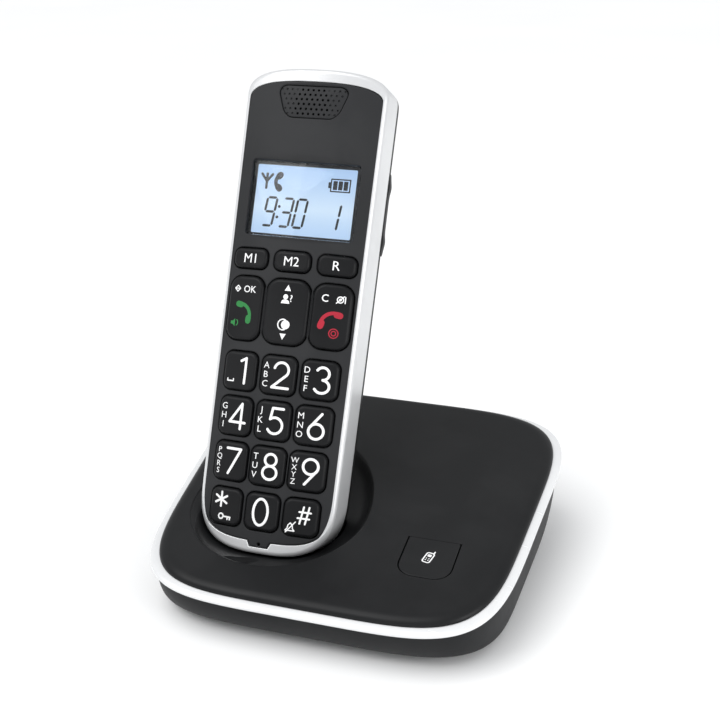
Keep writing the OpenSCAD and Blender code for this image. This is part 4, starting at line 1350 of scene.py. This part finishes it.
def geometryTree(name, inputs):
    # A tree with these inputs; a word names the kind of one that has no value yet
    tree = bpy.data.node_groups.new(name, "GeometryNodeTree")
    tree.interface.new_socket("Geometry", in_out="INPUT", socket_type="NodeSocketGeometry")
    for label, value in inputs.items():
        kind = value if isinstance(value, str) else socketKinds[type(value)]
        socket = tree.interface.new_socket(label, in_out="INPUT", socket_type=kind)
        if kind != value:
            socket.default_value = value
    tree.interface.new_socket("Geometry", in_out="OUTPUT", socket_type="NodeSocketGeometry")
    return tree, tree.nodes.new("NodeGroupInput"), tree.nodes.new("NodeGroupOutput")


def endTree(tree, enter, leave, geometry):
    # Realised and painted, ready to become a plain mesh
    real = wire(tree, geometry, tree.nodes.new("GeometryNodeRealizeInstances"), "Geometry")
    paint = wire(tree, real.outputs["Geometry"], tree.nodes.new("GeometryNodeSetMaterial"), "Geometry")
    wire(tree, enter.outputs["Material"], paint, "Material")
    wire(tree, paint.outputs["Geometry"], leave, "Geometry")


def runTree(piece, tree, **values):
    # Runs a tree on a piece with these inputs
    modifier = piece.modifiers.new(tree.name, "NODES")
    modifier.node_group = tree
    for item in tree.interface.items_tree:
        key = item.name[0].lower() + item.name[1:].replace(" ", "")
        if item.in_out == "INPUT" and key in values:
            modifier[item.identifier] = values[key]
    piece.update_tag()
    return settle(piece)


def makePerforation():
    # A staggered field of holes in a plate: deep near the middle and shallow outside
    tree, enter, leave = geometryTree("perforation", {
        "Pitch": 1.9, "Hole Radius": 0.4, "Rows": 7, "Columns": 15, "Half Width": 10.0, "Taper": 0.0,
        "Reach": 20.0, "Through Reach": 6.0, "Middle": 0.0, "Face Radius": 80.0, "Face Top": 25.0, "Pit": 0.4,
        "Material": "NodeSocketMaterial"})
    get = enter.outputs

    def times(a, b):
        return mathNode(tree, "MULTIPLY", a, b)

    def plus(a, b):
        return mathNode(tree, "ADD", a, b)

    def minus(a, b):
        return mathNode(tree, "SUBTRACT", a, b)

    def over(a, b):
        return mathNode(tree, "DIVIDE", a, b)

    count = times(get["Rows"], get["Columns"])
    index = tree.nodes.new("GeometryNodeInputIndex").outputs[0]
    row = mathNode(tree, "FLOOR", over(plus(index, 0.01), get["Columns"]))
    column = minus(index, times(row, get["Columns"]))
    odd = times(mathNode(tree, "MODULO", row, 2), 0.5)
    halfColumns = times(minus(get["Columns"], 1), 0.5)
    halfRows = times(minus(get["Rows"], 1), 0.5)
    x = times(minus(plus(column, odd), halfColumns), get["Pitch"])
    y = times(times(minus(row, halfRows), get["Pitch"]), 0.866)
    far = mathNode(tree, "SQRT", plus(times(x, x), times(y, y)))
    shallow = mathNode(tree, "GREATER_THAN", far, get["Through Reach"])
    depth = plus(times(shallow, get["Pit"]), times(minus(1, shallow), 4))
    bend = over(times(x, x), times(get["Face Radius"], 2))
    floorZ = minus(minus(get["Face Top"], bend), depth)
    spot = tree.nodes.new("ShaderNodeCombineXYZ")
    wire(tree, x, spot, "X")
    wire(tree, plus(y, get["Middle"]), spot, "Y")
    wire(tree, floorZ, spot, "Z")
    points = wire(tree, count, tree.nodes.new("GeometryNodePoints"), "Count")
    wire(tree, spot.outputs[0], points, "Position")
    limit = times(get["Half Width"], plus(1, times(y, get["Taper"])))
    outside = mathNode(tree, "MAXIMUM", mathNode(tree, "GREATER_THAN", mathNode(tree, "ABSOLUTE", x), limit),
                       mathNode(tree, "GREATER_THAN", far, get["Reach"]))
    store = tree.nodes.new("GeometryNodeStoreNamedAttribute")
    wire(tree, points.outputs[0], store, "Geometry")
    store.inputs["Name"].default_value = "depth"
    wire(tree, depth, store, "Value")
    drop = wire(tree, store.outputs[0], tree.nodes.new("GeometryNodeDeleteGeometry"), "Geometry")
    wire(tree, outside, drop, "Selection")
    bore = tree.nodes.new("GeometryNodeMeshCone")
    bore.inputs["Vertices"].default_value = 10
    bore.inputs["Depth"].default_value = 1
    wire(tree, times(get["Hole Radius"], 1.12), bore, "Radius Top")
    wire(tree, times(get["Hole Radius"], 0.88), bore, "Radius Bottom")
    known = tree.nodes.new("GeometryNodeInputNamedAttribute")
    known.inputs["Name"].default_value = "depth"
    size = tree.nodes.new("ShaderNodeCombineXYZ")
    size.inputs["X"].default_value = 1
    size.inputs["Y"].default_value = 1
    wire(tree, plus(known.outputs[0], 0.3), size, "Z")
    copies = wire(tree, drop.outputs[0], tree.nodes.new("GeometryNodeInstanceOnPoints"), "Points")
    wire(tree, bore.outputs["Mesh"], copies, "Instance")
    wire(tree, size.outputs[0], copies, "Scale")
    bores = wire(tree, copies.outputs[0], tree.nodes.new("GeometryNodeRealizeInstances"), "Geometry")
    cut = tree.nodes.new("GeometryNodeMeshBoolean")
    cut.operation = "DIFFERENCE"
    cut.solver = "EXACT"
    wire(tree, get["Geometry"], cut, "Mesh 1")
    wire(tree, bores.outputs[0], cut, "Mesh 2")
    endTree(tree, enter, leave, cut.outputs["Mesh"])
    return tree


def makeRepeat():
    # The same part on every point of a mesh
    tree, enter, leave = geometryTree("repeatedPart", {
        "Part": "NodeSocketObject", "Material": "NodeSocketMaterial"})
    part = wire(tree, enter.outputs["Part"], tree.nodes.new("GeometryNodeObjectInfo"), "Object")
    copies = wire(tree, enter.outputs["Geometry"], tree.nodes.new("GeometryNodeInstanceOnPoints"), "Points")
    wire(tree, part.outputs["Geometry"], copies, "Instance")
    endTree(tree, enter, leave, copies.outputs[0])
    return tree


def makeCoil():
    # A wire coil that rises from each point of a mesh
    tree, enter, leave = geometryTree("wireCoil", {
        "Turns": 4.0, "Foot Radius": 3.0, "Top Radius": 2.0, "Height": 3.0, "Wire Radius": 0.2,
        "Material": "NodeSocketMaterial"})
    spiral = tree.nodes.new("GeometryNodeCurveSpiral")
    spiral.inputs["Resolution"].default_value = 20
    for label, socket in (("Turns", "Rotations"), ("Foot Radius", "Start Radius"),
                          ("Top Radius", "End Radius"),
                          ("Height", "Height")):
        wire(tree, enter.outputs[label], spiral, socket)
    circle = tree.nodes.new("GeometryNodeCurvePrimitiveCircle")
    circle.inputs["Resolution"].default_value = 8
    wire(tree, enter.outputs["Wire Radius"], circle, "Radius")
    coil = wire(tree, spiral.outputs[0], tree.nodes.new("GeometryNodeCurveToMesh"), "Curve")
    wire(tree, circle.outputs[0], coil, "Profile Curve")
    coil.inputs["Fill Caps"].default_value = True
    copies = wire(tree, enter.outputs["Geometry"], tree.nodes.new("GeometryNodeInstanceOnPoints"), "Points")
    wire(tree, coil.outputs[0], copies, "Instance")
    endTree(tree, enter, leave, copies.outputs[0])
    return tree


perforation = makePerforation()
repeatedPart = makeRepeat()
wireCoil = makeCoil()


def repeatPart(name, model, spots, place, material, crease=35):
    # One piece with the model at every spot
    mesh = bpy.data.meshes.new(name)
    mesh.from_pydata(spots, [], [])
    piece = bpy.data.objects.new(name, mesh)
    bpy.context.scene.collection.objects.link(piece)
    runTree(piece, repeatedPart, part=model, material=material)
    tidyMesh(piece.data, crease, merge=False)
    piece.data.transform(place)
    bpy.data.objects.remove(model)
    return piece


# Handset: earpiece

print("Handset: earpiece and back")
noTurn = Matrix.Identity(4)
body = Body()
plateSolid(body, lambda o: grilleShape(o - grille["gap"]), [], lambda x, y: crown(x) - grille["sink"],
           lambda x, y: crown(x) - grille["sink"] - grille["thick"], spacing=(2.4, 6), roll=(0.3, 0.25),
           steps=2)
earPlate = body.make("earpieceGrille", noTurn, [panelBlack])
runTree(earPlate, perforation, pitch=grille["pitch"], holeRadius=grille["hole"], rows=6, columns=14,
        halfWidth=grille["halfWidth"] - 1, taper=grille["taper"], reach=30.0, throughReach=grille["through"],
        middle=grilleY, faceRadius=float(handset["faceRadius"]), faceTop=faceTop - grille["sink"], pit=0.35,
        material=panelBlack)
tidyMesh(earPlate.data, 30)
earPlate.data.transform(onHandset)
finish(earPlate, "handset", "panel_black")


# Handset: back

onBack = onHandset @ Matrix.Rotation(math.pi, 4, "Y")
rear = {"side": 10, "low": 8, "high": 12, "wall": 1.8, "turn": 40, "steps": 8, "speaker": 8.6,
        "edge": 0.22, "screw": 2.2, "screwDeep": 2.6, "ledge": 1.9, "ledgeTop": 3.1,
        "lowScrew": (6.2, 26), "highScrew": (5.4, 13.5),   # in from the side, and from the nearer end
        "partGap": 0.12, "doorGap": 0.3, "bayWall": 1.2, "bayRoof": 0.6}
contact = {"size": (5, 6), "corner": 0.4, "gap": 0.12, "apart": 8}
rocker = {"bump": 0.42, "bumpAt": 9.4, "bumpWide": 2.3, "rest": 0.35, "inner": 20.8, "shoulder": 0.5,
          "corner": 0.9,
          "slotGap": 0.3, "slotCorner": 1.6, "slotSpan": (20, 30)}
doorCentre, doorSize, doorLow, doorHigh = localBox("battery_door", onHandset)
cellCentre, cellSize, cellLow, cellHigh = localBox("battery_cells", onHandset)
plateHigh = localBox("battery_plates", onHandset)[3]
springLow = localBox("battery_springs", onHandset)[2]
rockerCentre, rockerSize, _, rockerHigh = localBox("volume_rocker", onHandset)
contactCentre, _, _, contactHigh = localBox("charge_contacts", onHandset)
speakerCentre = localBox("handsfree_speaker", onHandset)[0]
backTop = partLine - rear["partGap"]


def backSizes(a, o):
    # Ends and half widths of the level loop at turn a, from the parting line to the flat back
    side = rear["side"] * (1 - max(0, math.cos(a)) ** 0.8) + o
    low = rear["low"] * (1 - math.cos(a)) + o
    high = rear["high"] * (1 - math.cos(a)) + o
    return (low, length - high, handset["halfLow"] - side, halfHigh - 0.05 - side,
            handset["lowEnd"] - 0.6 * low, handset["topEnd"] - 0.5 * high)


def backLevel(a, o):
    return backTop - (backTop - o) * math.sin(a) ** 0.85


def backHeight(o):
    # Height of the back's skin at a point, found on the level loops
    def height(x, y):
        lowTurn, highTurn = 0, math.pi / 2
        for _ in range(13):
            a = (lowTurn + highTurn) / 2
            y0, y1, wide0, wide1, end0, end1 = backSizes(a, o)
            if y <= y0 or y >= y1:
                half = 0
            elif y < y0 + end0:
                half = wide0 * (1 - ((y0 + end0 - y) / end0) ** 3) ** (1 / 3)
            elif y > y1 - end1:
                half = wide1 * (1 - ((y - y1 + end1) / end1) ** 3) ** (1 / 3)
            else:
                half = wide0 + (wide1 - wide0) * (y - y0 - end0) / (y1 - end1 - y0 - end0)
            if abs(x) < half:
                lowTurn = a
            else:
                highTurn = a
        return backLevel(lowTurn, o)
    return height


screwCentres = [(side * (halfHigh - inward), y)
                for inward, y in (rear["lowScrew"], (rear["highScrew"][0], length - rear["highScrew"][1]))
                for side in (-1, 1)]
ventHole = roundHole(rear["speaker"], 0, speakerCentre[1], 40)
doorHole = boxHole(doorSize[0] + 2 * rear["doorGap"], doorSize[1] + 2 * rear["doorGap"], 2, 0, doorCentre[1])
bayWide, bayLong = cellSize[0] + 1.2, plateHigh[1] - springLow[1] + 0.3
bayTop = cellHigh[2] + 0.4


def buildRear():
    body = Body()
    turns = [math.radians(rear["turn"]) * k / rear["steps"] for k in range(rear["steps"] + 1)]
    skins = []
    for o in (0, rear["wall"]):
        loops = [body.add([(x, y, backLevel(a, o)) for x, y in endedOutline(*backSizes(a, o))])
                 for a in turns]
        for one, two in zip(loops, loops[1:]):
            body.bridge(one, two)
        skins.append(loops)
    body.bridge(skins[0][0], skins[1][0])
    edge = rear["edge"]
    outerHoles = [doorHole, ventHole] + [roundHole(rear["screw"], x, y, 24) for x, y in screwCentres]
    outerHoles += [boxHole(contact["size"][0] + 2 * contact["gap"], contact["size"][1] + 2 * contact["gap"],
                           contact["corner"], side * contact["apart"], contactCentre[1], 2)
                   for side in (-1, 1)]
    blockHole = boxHole(doorSize[0] + 5, doorSize[1] + 5, 3, 0, doorCentre[1])
    feet = {}
    for o, families, grow in ((0, outerHoles, edge), (rear["wall"], [blockHole, ventHole], 0)):
        skin = backHeight(o)
        outline = endedOutline(*backSizes(turns[-1], o))
        rim = skins[0][-1] if o == 0 else skins[1][-1]
        points, triangles, boundary = fillArea([outline] + [f(grow) for f in families], (1.5, 1.8))
        names = {p: q for p, q in zip(boundary[0], rim)}
        for i, (x, y) in enumerate(points):
            if i not in names:
                names[i] = body.add([(x, y, skin(x, y))])[0]
        for t in triangles:
            body.face([names[v] for v in t])
        for k, family in enumerate(families):
            ring = [names[v] for v in boundary[k + 1]]
            if grow:
                sunk = body.add([(x, y, skin(x, y) + edge) for x, y in family(0)])
                body.bridge(ring, sunk)
                ring = sunk
            feet[(o, k)] = ring

    def drop(ring, loops):
        for loop in loops:
            nextRing = body.add(loop)
            body.bridge(ring, nextRing)
            ring = nextRing
        return ring

    def level(family, o, z):
        return [(x, y, z) for x, y in family(o)]

    bay = boxHole(bayWide, bayLong, 0.5, 0, doorCentre[1])
    bayWall = boxHole(bayWide + 2 * rear["bayWall"], bayLong + 2 * rear["bayWall"], 1, 0, doorCentre[1])
    body.cap(drop(feet[(0, 0)], [level(doorHole, 0, rear["ledge"]), level(bay, 0, rear["ledge"]),
                                 level(bay, 0, bayTop)]))
    body.cap(drop(feet[(rear["wall"], 0)], [level(blockHole, 0, rear["ledgeTop"]),
                                            level(bayWall, 0, rear["ledgeTop"]),
                                            level(bayWall, 0, bayTop + rear["bayRoof"])]))
    body.bridge(feet[(0, 1)], feet[(rear["wall"], 1)])
    for k, family in enumerate(outerHoles[2:]):
        deep = rear["screwDeep"] if k < len(screwCentres) else contactHigh[2]
        body.cap(drop(feet[(0, k + 2)], [level(family, 0, deep)]))
    piece = body.make("handsetRearShell", noTurn, [shellBlack])
    tool = Body()
    tool.tube([[(x, rockerCentre[1] + p, rockerCentre[2] + q) for p, q in
                roundedBox(rockerSize[1] + 2 * rocker["slotGap"], rockerSize[2] + 2 * rocker["slotGap"],
                           rocker["slotCorner"], 0, 0, 5)] for x in rocker["slotSpan"]])
    cutter = tool.make("slotCutter", noTurn, [shellBlack])
    slot = piece.modifiers.new("slot", "BOOLEAN")
    slot.operation = "DIFFERENCE"
    slot.solver = "EXACT"
    slot.object = cutter
    settle(piece, 32)
    bpy.data.objects.remove(cutter)
    weigh = piece.modifiers.new("weighted", "WEIGHTED_NORMAL")
    weigh.keep_sharp = True
    settle(piece)
    piece.data.transform(onHandset)
    return piece


finish(buildRear(), "handset", "shell_black", "handset_rear_shell")

body = Body()
plateSolid(body, roundHole(rear["speaker"] - 0.1, 0, speakerCentre[1], 40), [], lambda x, y: -0.05,
           lambda x, y: -1.5, spacing=(6, 6), roll=(0.2, 0.2), steps=2)
vent = body.make("speakerGrille", noTurn, [shellBlack])
runTree(vent, perforation, pitch=2.0, holeRadius=0.5, rows=9, columns=9, halfWidth=20.0, taper=0.0, reach=7.4,
        throughReach=9.0, middle=speakerCentre[1], faceRadius=100000.0, faceTop=-0.05, pit=0.5,
        material=shellBlack)
tidyMesh(vent.data, 30)
vent.data.transform(onBack)
finish(vent, "handset", "shell_black")

door = {"edge": (0.45, 0.45), "nose": 0.8, "ribs": 6, "ribStep": 1.5, "ribHalf": 5.5, "ribRadius": 0.42,
        "fromTop": 5}


def doorInside(x, y):
    # The hinge edge is round, so that it turns clear of the shell
    nose = door["nose"]
    along = min(nose, max(0, y - doorLow[1]))
    return -nose - math.sqrt(nose ** 2 - (nose - along) ** 2) * (doorHigh[2] - 0.02 - nose) / nose


body = Body()
plateSolid(body, boxHole(doorSize[0], doorSize[1], 2.8, 0, doorCentre[1]), [], lambda x, y: 0, doorInside,
           spacing=(5, 0.8), roll=door["edge"], steps=4)
finish(body.make("batteryDoor", onBack, [shellBlack]), "battery_door", "shell_black", "battery_door")

body = Body()
ribProfile = [(door["ribRadius"] * math.cos(math.pi * k / 6),
               door["ribRadius"] * 0.6 * math.sin(math.pi * k / 6))
              for k in range(7)]
stations = [(-door["ribHalf"], 0.35), (-door["ribHalf"] + 0.35, 1), (door["ribHalf"] - 0.35, 1),
            (door["ribHalf"], 0.35)]
body.tube([[(x, q * s, r * s - 0.05) for q, r in ribProfile
            + [(-door["ribRadius"], -0.1), (door["ribRadius"], -0.1)]]
           for x, s in stations])
rib = body.make("doorRib", noTurn, [shellBlack])
ribSpots = [(0, doorHigh[1] - door["fromTop"] - door["ribStep"] * i, 0) for i in range(door["ribs"])]
finish(repeatPart("batteryDoorRibs", rib, ribSpots, onBack, shellBlack), "battery_door", "shell_black")
body = Body()
arrowY = doorHigh[1] - door["fromTop"] - door["ribStep"] * door["ribs"] - 1.6
printMark(body, [[(-2, arrowY), (0, arrowY - 2.6), (2, arrowY)]], lambda x, y: 0, 0.18, 0.1)
finish(body.make("batteryDoorArrow", onBack, [shellBlack]), "battery_door", "shell_black")

body = Body()
rings = []
for i in range(41):
    t = -1 + 2 * i / 40
    y = t * rockerSize[1] / 2
    end = math.sqrt(max(0, 1 - abs(t) ** 10)) if abs(t) < 1 else 0
    bump = sum(math.exp(-((y - s * rocker["bumpAt"]) / rocker["bumpWide"]) ** 2) for s in (-1, 1))
    swell = rocker["rest"] * 0.5 + bump * rocker["bump"]
    out = rockerHigh[0] - rocker["rest"] - rocker["shoulder"] + swell * end
    tall = rockerSize[2] * (0.82 + 0.18 * end)
    wide = out - rocker["inner"]
    rings.append([(rocker["inner"] + wide / 2 + p, rockerCentre[1] + y, rockerCentre[2] + q)
                  for p, q in roundedBox(wide, tall, rocker["corner"], 0, 0, 5)])
body.tube(rings)
finish(body.make("volumeRocker", onHandset, [keyBlack]), "volume_rocker", "key_black", "volume_rocker")

body = Body()
for side in (-1, 1):
    plateSolid(body, boxHole(*contact["size"], contact["corner"], side * contact["apart"], contactCentre[1],
                             3), [],
               lambda x, y: -0.04,
               lambda x, y: -contactHigh[2] + 0.02, spacing=(1.5, 1.5), roll=(0.35, 0.2), steps=3)
finish(body.make("chargeContacts", onBack, [goldPlated]), "handset", "gold_plated", "charge_contacts")

body = Body()
cellRadius = cellSize[2] / 2
cellProfile = [(0.3, cellLow[1], 1), (0.9, cellLow[1], 1), (0.97, cellLow[1] + 0.25, 1),
               (1, cellLow[1] + 0.7, 0),
               (1, cellHigh[1] - 1.6, 0), (0.94, cellHigh[1] - 1.05, 0), (0.8, cellHigh[1] - 0.95, 1),
               (0.4, cellHigh[1] - 0.95, 1), (0.36, cellHigh[1] - 0.05, 1), (0.3, cellHigh[1], 1)]
for side in (-1, 1):
    x0 = side * (cellSize[0] / 2 - cellRadius)
    loops = []
    for share, y, paint in cellProfile:
        loops.append((body.add([(x0 + cellRadius * share * math.cos(2 * math.pi * k / 32), y,
                                 cellCentre[2] + cellRadius * share * math.sin(2 * math.pi * k / 32))
                                for k in range(32)]), paint))
    for (one, _), (two, paint) in zip(loops, loops[1:]):
        body.bridge(one, two, paint)
    body.cap(loops[0][0], 1)
    body.cap(loops[-1][0], 1)
finish(body.make("batteryCells", onHandset, [cellWrap, steelPlain], 40), "handset", "cell_wrap",
       "battery_cells")

# Battery springs: a square plate and a tapering coil for each cell
body = Body()
coilSpots = []
for side in (-1, 1):
    x0 = side * (cellSize[0] / 2 - cellRadius)
    body.tube([[(x0 + p, y, cellCentre[2] + q) for p, q in roundedBox(8, 8, 1, 0, 0, 4)]
               for y in (springLow[1], springLow[1] + 0.5)])
    coilSpots.append((x0, -cellCentre[2], springLow[1] + 0.6))
plates = body.make("batterySpringPlates", onHandset, [steelPlain])
finish(plates, "handset", "metal_plain", "battery_springs")
mesh = bpy.data.meshes.new("batterySprings")
mesh.from_pydata(coilSpots, [], [])
coils = bpy.data.objects.new("batterySprings", mesh)
bpy.context.scene.collection.objects.link(coils)
runTree(coils, wireCoil, turns=2.5, footRadius=3.0, topRadius=1.7,
        height=max(0.6, cellLow[1] - springLow[1] - 0.8),
        wireRadius=0.16, material=steelPlain)
tidyMesh(coils.data, 50, merge=False)
coils.data.transform(onHandset @ Matrix.Rotation(-math.pi / 2, 4, "X"))
finish(coils, "handset", "metal_plain")


# Base: feet and what is left as it was made

print("Base: feet; finishes of the inner parts")
body = Body()
footBox = localBox("rubber_feet", onDesk)
profile = [(3.2, 0), (3.9, 0.06), (4.2, 0.35), (4.5, 1.15), (4.5, 1.25), (4.1, 1.3), (4.1, footBox[3][2])]
body.tube([[(r * math.cos(2 * math.pi * k / 40), r * math.sin(2 * math.pi * k / 40), z) for k in range(40)]
           for r, z in profile])
padModel = body.make("footPad", noTurn, [rubberBlack], 40)
feetPiece = repeatPart("rubberFeet", padModel, [(x, y, 0) for x, y in feetSpots], onDesk, rubberBlack)
finish(feetPiece, "base", "rubber_black", "rubber_feet")

finishes = {
    "lcd_backlight": whitePlastic, "earpiece_speaker": steelPlain, "handsfree_speaker": steelPlain,
    "microphone": steelPlain, "keypad_mat": matGrey, "handset_board": boardGreen, "base_board": boardGreen,
    "handset_antenna": goldPlated, "base_antenna": goldPlated, "battery_plates": steelPlain,
    "handset_screws": steelPlain, "base_screws": steelPlain, "page_switch": steelPlain,
    "charge_pin_left": goldPlated, "charge_pin_right": goldPlated, "pin_springs": steelPlain,
    "pin_carrier": socketBlack, "line_socket": socketBlack, "power_socket": socketBlack,
}
for node, material in finishes.items():
    part = frame["nodes"][node]
    part.data.materials.clear()
    part.data.materials.append(material)


# Studio

print("Studio: floor, lights and camera")
studio = {
    "azimuth": 17.854, "elevation": 22.33, "roll": -0.3, "lens": 58.68,
    "eye": (0.1097, -0.3379, 0.2209),
    "floor": (0.9, 0.9, 0.9), "floorSize": 12, "floorDrop": 0.0002, "world": 0.72,
          "sun": (-0.35, -0.3, 0.9, 1.5, 50),
    "lights": [("softKey", (-0.5, -0.5, 0.7), 0.5, 1.6), ("softRight", (0.8, -0.3, 0.3), 0.5, 3.2)],
}
bpy.ops.mesh.primitive_plane_add(size=studio["floorSize"], location=(0, 0, -studio["floorDrop"]))
floor = bpy.context.object
floor.name = "studioFloor"
floorPaint, tree, shader = newMaterial("studioFloor", Roughness=0.75)
drift = place(tree, driftGroup, One=(*studio["floor"], 1), Two=(*[v * 0.985 for v in studio["floor"]], 1),
              Scale=3,
              Speckle=0.01)
wire(tree, drift.outputs["Colour"], shader, "Base Color")
floor.data.materials.append(floorPaint)

world = bpy.data.worlds.new("softWorld")
world.use_nodes = True
world.node_tree.nodes["Background"].inputs["Color"].default_value = (0.97, 0.985, 1, 1)
world.node_tree.nodes["Background"].inputs["Strength"].default_value = studio["world"]
bpy.context.scene.world = world
for name, spot, size, power in studio["lights"]:
    lamp = bpy.data.lights.new(name, "AREA")
    lamp.size = size
    lamp.energy = power
    holder = bpy.data.objects.new(name, lamp)
    holder.location = spot
    holder.rotation_euler = (Vector((0, 0, 0.05)) - Vector(spot)).to_track_quat("-Z", "Y").to_euler()
    bpy.context.scene.collection.objects.link(holder)

x, y, z, power, angle = studio["sun"]
sun = bpy.data.lights.new("softSun", "SUN")
sun.energy = power
sun.angle = math.radians(angle)
holder = bpy.data.objects.new("softSun", sun)
holder.rotation_euler = (-Vector((x, y, z))).to_track_quat("-Z", "Y").to_euler()
bpy.context.scene.collection.objects.link(holder)

azimuth, elevation, roll = (math.radians(studio[k]) for k in ("azimuth", "elevation", "roll"))
back = Vector((math.sin(azimuth) * math.cos(elevation), -math.cos(azimuth) * math.cos(elevation),
               math.sin(elevation)))
side = Vector((math.cos(azimuth), math.sin(azimuth), 0))
above = back.cross(side)
side, above = (math.cos(roll) * side + math.sin(roll) * above,
               -math.sin(roll) * side + math.cos(roll) * above)
camera = bpy.data.objects.new("camera", bpy.data.cameras.new("camera"))
camera.matrix_world = placeFrom(side, above, back, Vector(studio["eye"])) @ Matrix.Scale(1000, 4)
camera.data.lens = studio["lens"]
camera.data.sensor_width = 36
camera.data.clip_start = 0.01
bpy.context.scene.collection.objects.link(camera)
bpy.context.scene.camera = camera
bpy.context.scene.view_settings.view_transform = "Standard"

print("Done")
